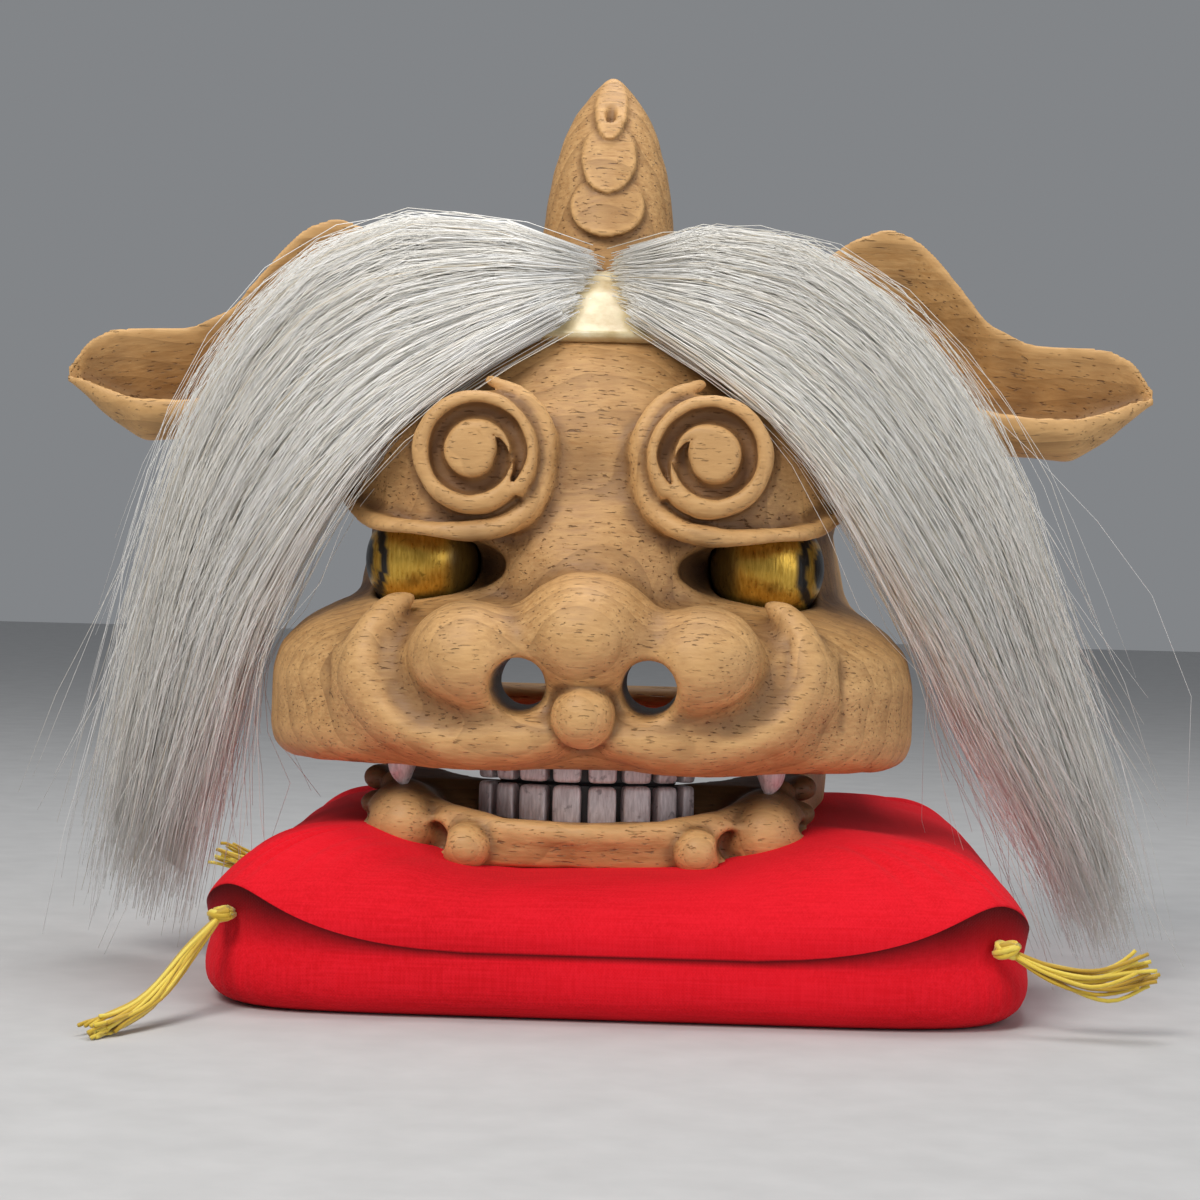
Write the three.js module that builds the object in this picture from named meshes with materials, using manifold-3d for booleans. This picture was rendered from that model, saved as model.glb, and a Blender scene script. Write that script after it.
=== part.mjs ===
// Carved lion dance head with a swinging lower jaw, ears, horn and mane, on a tied cushion.
// Millimetres, +Z up, face toward -Y, floor at z = 0, head centred on x = 0.
import * as THREE from 'three';
import { mergeVertices } from 'three/addons/utils/BufferGeometryUtils.js';
import Module from 'manifold-3d';

const wasm = await Module();
wasm.setup();

// Clearance between neighbouring pieces
const GAP = 0.4;

// Upper head: one row for each level; side is where the flat cheek starts behind the rounded front
const HEAD_ROWS = [
  { z: 58.6, half: 79, rearHalf: 74, front: -71, side: -25, rear: 75, square: 3.2 },
  { z: 61, half: 82.5, rearHalf: 77, front: -74.5, side: -25, rear: 75, square: 3.2 },
  { z: 66, half: 84, rearHalf: 78, front: -76, side: -25, rear: 75, square: 3.2 },
  { z: 80, half: 84, rearHalf: 78, front: -76, side: -25, rear: 75, square: 3.2 },
  { z: 88, half: 82, rearHalf: 77, front: -74, side: -25, rear: 75, square: 3 },
  { z: 94, half: 77, rearHalf: 75, front: -69, side: -22, rear: 75, square: 2.8 },
  { z: 98, half: 70, rearHalf: 72, front: -62, side: -18, rear: 75, square: 2.6 },
  { z: 101, half: 64, rearHalf: 70, front: -58, side: -8, rear: 75, square: 2.4 },
  { z: 118, half: 63, rearHalf: 66, front: -57, side: 6, rear: 75, square: 2.2 },
  { z: 130, half: 66, rearHalf: 64, front: -59, side: 12, rear: 75, square: 2.2 },
  { z: 142, half: 65, rearHalf: 61, front: -57, side: 12, rear: 75, square: 2.2 },
  { z: 152, half: 61, rearHalf: 56, front: -52.5, side: 12, rear: 75, square: 2.1 },
  { z: 162, half: 55.5, rearHalf: 50, front: -46.5, side: 12, rear: 74, square: 2 },
  { z: 171, half: 48.5, rearHalf: 42, front: -39.5, side: 12, rear: 71, square: 2 },
  { z: 179, half: 40.5, rearHalf: 33, front: -31, side: 12, rear: 66, square: 2 },
  { z: 186, half: 30, rearHalf: 23, front: -20, side: 12, rear: 58, square: 2 },
  { z: 191, half: 19, rearHalf: 14, front: -8, side: 12, rear: 46, square: 2 },
  { z: 193.5, half: 8, rearHalf: 6, front: 3, side: 12, rear: 32, square: 2 },
];

// Hollow inside the head, open behind and below
const HOLLOW_ROWS = [
  { z: 45, half: 72, rearHalf: 69, front: -44, side: -20, rear: 90, square: 3 },
  { z: 76, half: 72, rearHalf: 69, front: -44, side: -20, rear: 90, square: 3 },
  { z: 88, half: 68, rearHalf: 68, front: -40, side: -16, rear: 90, square: 2.8 },
  { z: 97, half: 50, rearHalf: 64, front: -20, side: 0, rear: 90, square: 2.4 },
  { z: 121, half: 50, rearHalf: 57, front: -20, side: 8, rear: 90, square: 2.2 },
  { z: 132, half: 56, rearHalf: 55, front: -44, side: 12, rear: 90, square: 2.2 },
  { z: 150, half: 52, rearHalf: 49, front: -41, side: 12, rear: 90, square: 2.1 },
  { z: 162, half: 45, rearHalf: 42, front: -33, side: 12, rear: 90, square: 2 },
  { z: 172, half: 37, rearHalf: 33, front: -21, side: 12, rear: 90, square: 2 },
  { z: 180, half: 26, rearHalf: 23, front: -6, side: 12, rear: 90, square: 2 },
];
const ARC_STEPS = { head: 18, hollow: 12, jaw: 14 };

// Brow plates, from the middle outward; the scroll is a disc with a groove round a knob
const BROW_ROWS = [
  { x: 12.5, low: 128, top: 139, front: -60, back: -50 },
  { x: 15, low: 122, top: 147, front: -62, back: -49 },
  { x: 19, low: 118, top: 151, front: -63, back: -48 },
  { x: 31, low: 117, top: 154, front: -62.5, back: -46 },
  { x: 43, low: 117, top: 151, front: -59.5, back: -38 },
  { x: 53, low: 118, top: 146, front: -54, back: -16 },
  { x: 60, low: 121, top: 140, front: -46, back: -10 },
  { x: 64, low: 126, top: 134, front: -37, back: -10 },
];
const SCROLL = { x: 30, y: -58, z: 137.5, rim: 15.5, groove: 11, knob: 7, rise: 8.5, dip: 3, steps: 14 };

// Eyes: balls set in sockets under the brows
const EYE = { x: 45, y: -38, z: 110, radius: 15 };

// Nose, nostrils and the ridge that runs round each wing of the nose
const BRIDGE = { y: -70, z: 92, radii: [18.5, 22, 16] };
const WING = { x: 30.5, y: -74, z: 86, radii: [14.5, 16, 14] };
const SEPTUM = { y: -81, z: 72.5, radius: 8 };
const NOSTRIL = { x: 16.3, y: -60, z: 80, radius: 6.8, length: 90 };
const RIDGE_ROWS = [
  { x: 44, y: -72, z: 99, radius: 1.5 },
  { x: 50, y: -73, z: 92, radius: 3 },
  { x: 51.5, y: -73.5, z: 84, radius: 3.6 },
  { x: 47.5, y: -75, z: 75, radius: 3.8 },
  { x: 38, y: -77, z: 69, radius: 3.8 },
  { x: 27, y: -78, z: 66.5, radius: 3.8 },
  { x: 16, y: -79, z: 67.5, radius: 3.4 },
  { x: 8, y: -79, z: 70, radius: 2.5 },
];

// Teeth stand on an arc behind the lips; the two rows almost meet at bite height
const TEETH = { count: 8, outer: 40, inner: 33, front: -64, halfAngle: 0.8, bite: 54.5, steps: 16 };
const UPPER_TEETH_TOP = 63;
const LOWER_TEETH_BASE = 43.5;
const TOOTH_SLOT = { width: 1, depth: 2.5 };
const FANG = { x: 47, y: -57, top: 63, bend: 57.5, tip: 52.5, radius: 4, point: 0.8 };

// Horn: one row for each level, and three tongues stepped up its front
const HORN_ROWS = [
  { z: 180, half: 17, depth: 13.5, y: -2 },
  { z: 199, half: 18, depth: 14.5, y: -1 },
  { z: 208, half: 17, depth: 13.8, y: 0 },
  { z: 217, half: 15.5, depth: 12.6, y: 1.5 },
  { z: 226, half: 13, depth: 10.6, y: 3 },
  { z: 233, half: 10, depth: 8.2, y: 4.6 },
  { z: 239, half: 5.8, depth: 4.8, y: 6.2 },
  { z: 243.5, half: 1.2, depth: 1.2, y: 7.5 },
];
const HORN_TONGUES = [
  { y: -13.5, z: 205, radii: [9.5, 4, 7.5] },
  { y: -11, z: 218, radii: [7, 3.6, 9.5] },
  { y: -6, z: 233, radii: [4, 3, 8] },
];
const HORN_PEG = { y: 2, radius: 8, bottom: 176, top: 200 };

// Ear, from root to tip: a scoop with a thin back wall, a floor and a front rim
const EAR_ROWS = [
  { x: 38, top: 184, rimIn: 171, rimOut: 166, low: 159, topY: 15, backY: 22, rimY: 6, wall: 5 },
  { x: 54, top: 190, rimIn: 168, rimOut: 163, low: 156, topY: 15, backY: 22, rimY: 6, wall: 5 },
  { x: 66, top: 198, rimIn: 164, rimOut: 159, low: 151, topY: 13, backY: 23, rimY: 3, wall: 5 },
  { x: 76, top: 201.5, rimIn: 161, rimOut: 156, low: 148, topY: 12, backY: 24, rimY: 0, wall: 5 },
  { x: 85, top: 198.5, rimIn: 159, rimOut: 154, low: 146, topY: 12, backY: 24, rimY: -2, wall: 5 },
  { x: 95, top: 188.5, rimIn: 156.5, rimOut: 152, low: 144, topY: 12, backY: 23, rimY: -3, wall: 5 },
  { x: 105, top: 176.5, rimIn: 154, rimOut: 150, low: 142, topY: 12, backY: 22, rimY: -3, wall: 5 },
  { x: 116, top: 171.5, rimIn: 152.4, rimOut: 148, low: 142, topY: 12, backY: 21, rimY: -3, wall: 4.5 },
  { x: 128, top: 171, rimIn: 152.4, rimOut: 148, low: 141, topY: 11, backY: 19, rimY: -1, wall: 4.5 },
  { x: 138, top: 170.8, rimIn: 155.2, rimOut: 151.4, low: 147, topY: 9.5, backY: 15.5, rimY: 2, wall: 4 },
  { x: 145, top: 167.5, rimIn: 158, rimOut: 155.2, low: 153.5, topY: 8, backY: 11.5, rimY: 4, wall: 2.5 },
  { x: 150, top: 160.5, rimIn: 159, rimOut: 158, low: 157.5, topY: 6.8, backY: 7.5, rimY: 5.8, wall: 0.6 },
];
const EAR_PEG = { inner: 44, outer: 70, y: 19, z: 161, depth: 7, height: 12 };

// Lower jaw: side outline, plan outline and the tray hollowed out behind the teeth
const JAW_PLAN = { half: 54, rearHalf: 68, front: -73, side: -36, rear: 76, square: 2.6 };
const JAW_TRAY = { half: 44, rearHalf: 59, front: -44, side: -20, rear: 90, square: 2.6 };
const JAW = { floor: 31.5, tray: 37.5, lip: 40.5, gum: 45, corner: 55.5, arm: 57, over: 95 };
const HINGE = { y: 60, z: 70, boss: 9.5, rod: 4, clearance: 0.5, half: 78 };
const JAW_KNOB = { x: 29, y: -71, z: 38.5, radius: 6 };
const JAW_CURL = { x: 38, y: -75, z: 40, radius: 4, length: 22 };

// Hide strip on the forehead and the mane's locks, each side from inner to outer edge
const HIDE = { levels: [167, 171, 179, 186], start: 0.5, steps: 10, lift: 0.7, thickness: 2 };
const MANE_LEFT = [
  { innerX: 12, innerY: -42, innerZ: 174, outerX: 6, outerY: -22, outerZ: 190 },
  { innerX: 40, innerY: -52, innerZ: 156, outerX: 36, outerY: -24, outerZ: 199 },
  { innerX: 61, innerY: -56, innerZ: 136, outerX: 69, outerY: -26, outerZ: 194 },
  { innerX: 77, innerY: -47, innerZ: 114, outerX: 95, outerY: -24, outerZ: 168 },
  { innerX: 91, innerY: -36, innerZ: 90, outerX: 111, outerY: -20, outerZ: 136 },
  { innerX: 99, innerY: -28, innerZ: 64, outerX: 122, outerY: -14, outerZ: 94 },
  { innerX: 106, innerY: -20, innerZ: 42, outerX: 129, outerY: -10, outerZ: 58 },
  { innerX: 114, innerY: -14, innerZ: 9, outerX: 135, outerY: -6, outerZ: 20 },
];
const MANE_RIGHT = [
  { innerX: 12, innerY: -42, innerZ: 174, outerX: 6, outerY: -22, outerZ: 190 },
  { innerX: 39, innerY: -52, innerZ: 156, outerX: 36, outerY: -24, outerZ: 198 },
  { innerX: 58, innerY: -56, innerZ: 138, outerX: 68, outerY: -26, outerZ: 186 },
  { innerX: 75, innerY: -48, innerZ: 112, outerX: 94, outerY: -24, outerZ: 157 },
  { innerX: 91, innerY: -36, innerZ: 88, outerX: 111, outerY: -20, outerZ: 124 },
  { innerX: 102, innerY: -28, innerZ: 66, outerX: 121, outerY: -14, outerZ: 92 },
  { innerX: 119, innerY: -20, innerZ: 42, outerX: 134, outerY: -10, outerZ: 56 },
  { innerX: 134, innerY: -14, innerZ: 9, outerX: 146, outerY: -6, outerZ: 12 },
];
const LOCKS = { count: 4, stations: 9, sides: 6, fill: 0.7, thickness: 6.5, tip: 0.35 };

// Cushion: rings from the seam to the middle of the top, and from the seam to the floor
const CUSHION = { x: 9, half: 102.5, square: 8, steps: 36, seam: 21, sag: 5, rise: 27, pinch: 0.05 };
const CUSHION_TOP = [0.985, 0.94, 0.85, 0.7, 0.5, 0.25];
const CUSHION_BOTTOM = [{ scale: 0.985, lift: 0.45 }, { scale: 0.93, lift: 0.12 }, { scale: 0.86, lift: 0 }];
const CUSHION_DENT = { y: -52, depth: 9, x: 46, spread: 58 };

// Tassels: the thread's path from the knot, for a front corner that trails and one that stands out
const TASSEL_TRAIL = [
  { out: 0, ahead: 0, z: 23 },
  { out: 5, ahead: 14, z: 16 },
  { out: 12, ahead: 32, z: 6 },
  { out: 20, ahead: 48, z: 2.2 },
];
const TASSEL_STICK = [
  { out: 0, ahead: 0, z: 20 },
  { out: 11, ahead: 3, z: 15 },
  { out: 22, ahead: 4, z: 13.5 },
  { out: 33, ahead: 4, z: 16.5 },
];
const TASSEL = { knot: 3.4, thread: 1.5, strands: 3, spread: 4, sides: 4 };

// Colours
const WOOD = new THREE.MeshStandardMaterial({ name: 'wood', color: 0xc89b64, roughness: 0.55 });
const GOLD = new THREE.MeshStandardMaterial({ name: 'gold_paint', color: 0xc9982f, roughness: 0.35 });
const SILVER = new THREE.MeshStandardMaterial({ name: 'silver_paint', color: 0xc8c8cc, roughness: 0.4 });
const HAIR = new THREE.MeshStandardMaterial({ name: 'horsehair', color: 0xe9e4d6, roughness: 0.5 });
const RED = new THREE.MeshStandardMaterial({ name: 'red_cotton', color: 0xc01020, roughness: 0.9 });
const FLOSS = new THREE.MeshStandardMaterial({ name: 'yellow_floss', color: 0xd8b020, roughness: 0.8 });

// Build a closed solid from any geometry, turning it outward if it is inside out
function solidOf(geometry) {
  const plain = geometry.index ? geometry.clone() : geometry;
  plain.deleteAttribute('normal');
  plain.deleteAttribute('uv');
  const merged = mergeVertices(plain, 1e-4);
  const points = merged.attributes.position;
  const index = Array.from(merged.index.array);
  const corners = [new THREE.Vector3(), new THREE.Vector3(), new THREE.Vector3()];
  let volume = 0;
  const triangles = [];
  for (let i = 0; i < index.length; i += 3) {
    const [a, b, c] = index.slice(i, i + 3);
    if (a === b || b === c || c === a) continue;
    [a, b, c].forEach((vertex, corner) => corners[corner].fromBufferAttribute(points, vertex));
    volume += corners[0].dot(corners[1].clone().cross(corners[2]));
    triangles.push([a, b, c]);
  }
  const ordered = volume < 0 ? triangles.map(([a, b, c]) => [a, c, b]) : triangles;
  const mesh = new wasm.Mesh({
    numProp: 3,
    vertProperties: new Float32Array(points.array),
    triVerts: new Uint32Array(ordered.flat()),
  });
  mesh.merge();
  return new wasm.Manifold(mesh);
}

// Turn a solid into a named mesh
function pieceOf(name, solid, material) {
  const mesh = solid.getMesh();
  const geometry = new THREE.BufferGeometry();
  geometry.setAttribute('position', new THREE.BufferAttribute(new Float32Array(mesh.vertProperties), 3));
  geometry.setIndex(Array.from(mesh.triVerts));
  geometry.computeVertexNormals();
  const piece = new THREE.Mesh(geometry, material);
  piece.name = name;
  return piece;
}

// Skin equal rings of points into a closed geometry with a flat cap at each end
function loft(rings) {
  const count = rings[0].length;
  const positions = rings.flat().flatMap((point) => [point.x, point.y, point.z]);
  const index = [];
  for (let r = 0; r + 1 < rings.length; r += 1) {
    for (let i = 0; i < count; i += 1) {
      const here = r * count + i;
      const next = r * count + ((i + 1) % count);
      index.push(here, next, next + count, here, next + count, here + count);
    }
  }
  const last = (rings.length - 1) * count;
  capOf(rings[0]).forEach(([a, b, c]) => index.push(a, c, b));
  capOf(rings[rings.length - 1]).forEach(([a, b, c]) => index.push(last + a, last + b, last + c));
  const geometry = new THREE.BufferGeometry();
  geometry.setAttribute('position', new THREE.Float32BufferAttribute(positions, 3));
  geometry.setIndex(index);
  return geometry;
}

// Triangles that fill one ring, worked out in the ring's own plane
function capOf(ring) {
  const normal = new THREE.Vector3();
  ring.forEach((point, i) => normal.add(point.clone().cross(ring[(i + 1) % ring.length])));
  normal.normalize();
  const helper = Math.abs(normal.z) > 0.8 ? new THREE.Vector3(1, 0, 0) : new THREE.Vector3(0, 0, 1);
  const across = helper.clone().cross(normal).normalize();
  const up = normal.clone().cross(across);
  const flat = ring.map((point) => new THREE.Vector2(point.dot(across), point.dot(up)));
  return THREE.ShapeUtils.triangulateShape(flat, []);
}

// Ball or ellipsoid
function ball(center, radii, around = 14, down = 8) {
  const geometry = new THREE.SphereGeometry(1, around, down);
  geometry.scale(...radii);
  geometry.translate(...center);
  return solidOf(geometry);
}

// Block given by its two corners
function block(low, high) {
  const size = high.map((value, i) => value - low[i]);
  const geometry = new THREE.BoxGeometry(...size);
  geometry.translate(...high.map((value, i) => (value + low[i]) / 2));
  return solidOf(geometry);
}

// Round bar centred on a point, along one of the axes
function bar(axis, center, radius, length, sides = 24) {
  const geometry = new THREE.CylinderGeometry(radius, radius, length, sides);
  if (axis === 'x') geometry.rotateZ(Math.PI / 2);
  if (axis === 'z') geometry.rotateX(Math.PI / 2);
  geometry.translate(...center);
  return solidOf(geometry);
}

// Tapered tube through rows of points
function tube(rows, sides) {
  const curve = new THREE.CatmullRomCurve3(rows.map((row) => new THREE.Vector3(row.x, row.y, row.z)));
  const rings = rows.map((row, r) => {
    const tangent = curve.getTangent(r / (rows.length - 1));
    const helper = Math.abs(tangent.y) > 0.9 ? new THREE.Vector3(1, 0, 0) : new THREE.Vector3(0, 1, 0);
    const across = helper.clone().cross(tangent).normalize();
    const up = tangent.clone().cross(across);
    return ellipse(new THREE.Vector3(row.x, row.y, row.z), across, up, row.radius, row.radius, sides);
  });
  return solidOf(loft(rings));
}

// Ring of points round a centre
function ellipse(center, across, up, halfAcross, halfUp, sides) {
  return Array.from({ length: sides }, (_, i) => {
    const angle = (2 * Math.PI * i) / sides;
    return center.clone()
      .addScaledVector(across, halfAcross * Math.cos(angle))
      .addScaledVector(up, halfUp * Math.sin(angle));
  });
}

// Outline of the head or jaw at one level: rounded front, sides, flat back
function outline(row, z, steps) {
  const points = [new THREE.Vector3(row.rearHalf, row.rear, z)];
  for (let i = 0; i <= steps; i += 1) {
    points.push(frontPoint(row, (Math.PI * i) / steps, z));
  }
  points.push(new THREE.Vector3(-row.rearHalf, row.rear, z));
  return points;
}

// Point on the rounded front of an outline, from the right side at 0 to the left side at pi
function frontPoint(row, angle, z) {
  const power = 2 / row.square;
  const across = Math.cos(angle);
  const ahead = Math.max(Math.sin(angle), 0);
  const x = row.half * Math.sign(across) * Math.abs(across) ** power;
  const y = row.side - (row.side - row.front) * ahead ** power;
  return new THREE.Vector3(x, y, z);
}

// Row of a table at any level between its rows
function rowAt(rows, z) {
  const above = rows.findIndex((row) => row.z >= z);
  const low = rows[Math.max(above - 1, 0)];
  const high = rows[above];
  const share = high === low ? 0 : (z - low.z) / (high.z - low.z);
  const between = (key) => THREE.MathUtils.lerp(low[key], high[key], share);
  return Object.fromEntries(Object.keys(low).map((key) => [key, between(key)]));
}

// Stack of outlines, grown outward by a margin where another piece must keep clear of it
function stack(rows, steps, grow = 0) {
  const rings = rows.map((row) => {
    const wide = {
      ...row,
      half: row.half + grow,
      rearHalf: row.rearHalf + grow,
      front: row.front - grow,
      rear: row.rear + grow,
    };
    return outline(wide, row.z + (row.z > EYE.z ? grow : 0), steps);
  });
  return solidOf(loft(rings));
}

// Straight prism of one plan outline
function prism(row, low, high) {
  return solidOf(loft([outline(row, low, ARC_STEPS.jaw), outline(row, high, ARC_STEPS.jaw)]));
}

// Brow plate on one side, rounded at the front
function browPlate(side, grow = 0) {
  const rings = BROW_ROWS.map((row) => {
    const edge = Math.min(4, (row.top - row.low) / 3);
    const front = row.front - grow;
    const low = row.low - grow;
    const top = row.top + grow;
    const corners = [
      [row.back, low],
      [front + edge, low],
      [front, low + edge],
      [front, top - edge],
      [front + 2 * edge, top],
      [row.back, top],
    ];
    return corners.map(([y, z]) => new THREE.Vector3(side * row.x * (1 + grow / EYE.x), y, z));
  });
  return solidOf(loft(rings));
}

// Scroll on a brow: a disc whose profile dips to a groove round the knob
function scroll(side) {
  const { rim, groove, knob, rise, dip } = SCROLL;
  const profile = [
    [0, 0], [rim, 0], [rim, rise - 2], [rim - 2, rise], [groove + 1, rise],
    [groove - 1, rise - dip], [knob + 0.5, rise - dip], [knob - 1.5, rise], [0, rise + 0.5],
  ];
  const geometry = new THREE.LatheGeometry(profile.map(([r, h]) => new THREE.Vector2(r, h)), SCROLL.steps);
  geometry.rotateX(Math.PI);
  geometry.translate(side * SCROLL.x, SCROLL.y, SCROLL.z);
  return solidOf(geometry);
}

// Arc-shaped block that a row of teeth is cut from
function teethBlock(low, high, grow = 0) {
  const { steps } = TEETH;
  const middle = TEETH.front + TEETH.outer;
  const end = TEETH.halfAngle + grow / TEETH.outer;
  const angles = Array.from({ length: steps + 1 }, (_, i) => -end + (2 * end * i) / steps);
  const at = (radius, angle, z) => {
    return new THREE.Vector3(radius * Math.sin(angle), middle - radius * Math.cos(angle), z);
  };
  const ring = (z) => [
    ...angles.map((angle) => at(TEETH.outer + grow, angle, z)),
    ...angles.toReversed().map((angle) => at(TEETH.inner - grow, angle, z)),
  ];
  return solidOf(loft([ring(low), ring(high)]));
}

// Row of teeth: the block with a slot between each two teeth
function teethRow(low, high) {
  let row = teethBlock(low, high);
  const middle = TEETH.front + TEETH.outer;
  for (let i = 1; i < TEETH.count; i += 1) {
    const angle = -TEETH.halfAngle + (2 * TEETH.halfAngle * i) / TEETH.count;
    const slot = new THREE.BoxGeometry(TOOTH_SLOT.width, 2 * TOOTH_SLOT.depth, high - low + 2);
    slot.translate(0, -TEETH.outer, (low + high) / 2);
    slot.rotateZ(angle);
    slot.translate(0, middle, 0);
    row = row.subtract(solidOf(slot));
  }
  return row;
}

// Fang at one corner of the mouth
function fang(side, grow = 0) {
  const rows = [
    { x: side * FANG.x, y: FANG.y, z: FANG.top + grow, radius: FANG.radius + grow },
    { x: side * FANG.x, y: FANG.y, z: FANG.bend, radius: FANG.radius - 0.4 + grow },
    { x: side * (FANG.x - 1), y: FANG.y - 0.5, z: FANG.tip, radius: FANG.point + grow },
  ];
  return tube(rows, 8);
}

// Ear on one side, cut to the head it stands on and given a peg
function ear(side, clear) {
  const rings = EAR_ROWS.map((row) => {
    const mix = (from, to, share) => from + (to - from) * share;
    const backZ = mix(row.top, row.low, 0.5);
    const floor = row.low + row.wall;
    const section = [
      [row.topY, row.top],
      [row.backY, backZ],
      [mix(row.backY, row.rimY, 0.25), mix(row.low, backZ, 0.2)],
      [mix(row.backY, row.rimY, 0.65), row.low],
      [row.rimY, row.rimOut],
      [row.rimY + 0.15 * row.wall, row.rimIn],
      [mix(row.backY, row.rimY, 0.6) - 0.2 * row.wall, mix(floor, row.rimIn, 0.25)],
      [row.backY - row.wall, mix(floor, backZ, 0.45)],
      [row.backY - 0.9 * row.wall, backZ],
      [row.topY - 0.5 * row.wall, row.top - 0.3],
    ];
    return section.map(([y, z]) => new THREE.Vector3(side * row.x, y, z));
  });
  return solidOf(loft(rings)).subtract(clear).add(earPeg(side));
}

// Square peg that holds an ear in the head
function earPeg(side, grow = 0) {
  const near = EAR_PEG.inner - grow;
  const far = EAR_PEG.outer;
  const depth = EAR_PEG.depth / 2 + grow;
  const height = EAR_PEG.height / 2 + grow;
  const low = [Math.min(side * near, side * far), EAR_PEG.y - depth, EAR_PEG.z - height];
  const high = [Math.max(side * near, side * far), EAR_PEG.y + depth, EAR_PEG.z + height];
  return block(low, high);
}

// Horn with its stepped tongues, cut to the crown and given a peg
function horn(clear) {
  const across = new THREE.Vector3(1, 0, 0);
  const ahead = new THREE.Vector3(0, 1, 0);
  const rings = HORN_ROWS.map((row) => {
    return ellipse(new THREE.Vector3(0, row.y, row.z), across, ahead, row.half, row.depth, 12);
  });
  let body = solidOf(loft(rings));
  HORN_TONGUES.forEach((tongue) => {
    body = body.add(ball([0, tongue.y, tongue.z], tongue.radii, 10, 6));
  });
  return body.subtract(clear).add(hornPeg());
}

// Round peg under the horn
function hornPeg(grow = 0) {
  const length = HORN_PEG.top - HORN_PEG.bottom + grow;
  const middle = (HORN_PEG.top + HORN_PEG.bottom - grow) / 2;
  return bar('z', [0, HORN_PEG.y, middle], HORN_PEG.radius + grow, length, 12);
}

// Upper head with its carving, hollow and sockets
function head() {
  let body = stack(HEAD_ROWS, ARC_STEPS.head);
  for (const side of [-1, 1]) {
    body = body.add(browPlate(side));
    body = body.add(scroll(side));
    body = body.add(ball([side * WING.x, WING.y, WING.z], WING.radii));
    body = body.add(tube(RIDGE_ROWS.map((row) => ({ ...row, x: side * row.x })), 6));
  }
  body = body.add(ball([0, BRIDGE.y, BRIDGE.z], BRIDGE.radii));
  body = body.add(ball([0, SEPTUM.y, SEPTUM.z], [SEPTUM.radius, SEPTUM.radius, SEPTUM.radius], 12, 8));
  body = body.subtract(stack(HOLLOW_ROWS, ARC_STEPS.hollow));
  const socket = EYE.radius + GAP;
  const hole = HINGE.rod + HINGE.clearance;
  for (const side of [-1, 1]) {
    const nostril = [side * NOSTRIL.x, NOSTRIL.y, NOSTRIL.z];
    body = body.subtract(bar('y', nostril, NOSTRIL.radius, NOSTRIL.length, 16));
    body = body.subtract(ball([side * EYE.x, EYE.y, EYE.z], [socket, socket, socket]));
    body = body.subtract(earPeg(side, GAP));
    body = body.subtract(fang(side, GAP));
  }
  body = body.subtract(hornPeg(GAP));
  body = body.subtract(bar('x', [0, HINGE.y, HINGE.z], hole, 3 * HINGE.half));
  return body.subtract(teethBlock(TEETH.bite, UPPER_TEETH_TOP + GAP, GAP));
}

// Outer form of the lower jaw from its side and plan outlines
function jawBlock(grow = 0) {
  const front = JAW_PLAN.front - grow;
  const floor = JAW.floor - grow;
  const profile = new THREE.Shape();
  profile.moveTo(front + 12, floor);
  profile.quadraticCurveTo(front, floor + 1, front, floor + 6);
  profile.lineTo(front + 0.5, JAW.lip);
  profile.lineTo(TEETH.front - 2, JAW.gum);
  profile.lineTo(-52, JAW.gum + 1);
  profile.lineTo(-44, JAW.corner - 2);
  profile.lineTo(-36, JAW.corner);
  profile.lineTo(HINGE.y - 16, JAW.arm);
  profile.absarc(HINGE.y, HINGE.z, HINGE.boss + grow, Math.PI * 0.95, -Math.PI * 0.25, true);
  profile.lineTo(HINGE.y - 14 + grow, floor + 12);
  profile.lineTo(HINGE.y - 34 + grow, floor);
  const options = { depth: 2 * HINGE.half, bevelEnabled: false, curveSegments: 8 };
  const side = new THREE.ExtrudeGeometry(profile, options);
  side.translate(0, 0, -HINGE.half);
  side.applyMatrix4(new THREE.Matrix4().makeBasis(
    new THREE.Vector3(0, 1, 0), new THREE.Vector3(0, 0, 1), new THREE.Vector3(1, 0, 0),
  ));
  const plan = { ...JAW_PLAN, half: JAW_PLAN.half + grow, rearHalf: JAW_PLAN.rearHalf + grow, front };
  return solidOf(side).intersect(prism(plan, 0, JAW.over));
}

// Knob on each side of the jaw
function jawKnob(side, grow = 0) {
  const radius = JAW_KNOB.radius + grow;
  return ball([side * JAW_KNOB.x, JAW_KNOB.y, JAW_KNOB.z], [radius, radius, radius], 8, 6);
}

// Lower jaw hollowed into a tray, with its knobs, curls and sockets
function lowerJaw() {
  let jaw = jawBlock().subtract(prism(JAW_TRAY, JAW.tray, JAW.over));
  for (const side of [-1, 1]) {
    jaw = jaw.add(jawKnob(side));
    const curl = [side * JAW_CURL.x, JAW_CURL.y, JAW_CURL.z];
    jaw = jaw.subtract(bar('y', curl, JAW_CURL.radius, JAW_CURL.length, 10));
  }
  jaw = jaw.subtract(teethBlock(LOWER_TEETH_BASE - GAP, TEETH.bite, GAP));
  return jaw.subtract(bar('x', [0, HINGE.y, HINGE.z], HINGE.rod + GAP, 3 * HINGE.half));
}

// Hide strip that follows the forehead
function hideStrip() {
  const end = Math.PI - HIDE.start;
  const rings = Array.from({ length: HIDE.steps + 1 }, (_, i) => {
    const angle = HIDE.start + ((end - HIDE.start) * i) / HIDE.steps;
    const side = (lift) => HIDE.levels.map((z) => {
      const row = rowAt(HEAD_ROWS, z);
      const point = frontPoint(row, angle, z);
      const outward = new THREE.Vector3(point.x / row.half, (point.y - row.side) / row.half, 0.9).normalize();
      return point.addScaledVector(outward, lift);
    });
    return [...side(HIDE.lift), ...side(HIDE.lift + HIDE.thickness).toReversed()];
  });
  return solidOf(loft(rings));
}

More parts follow.
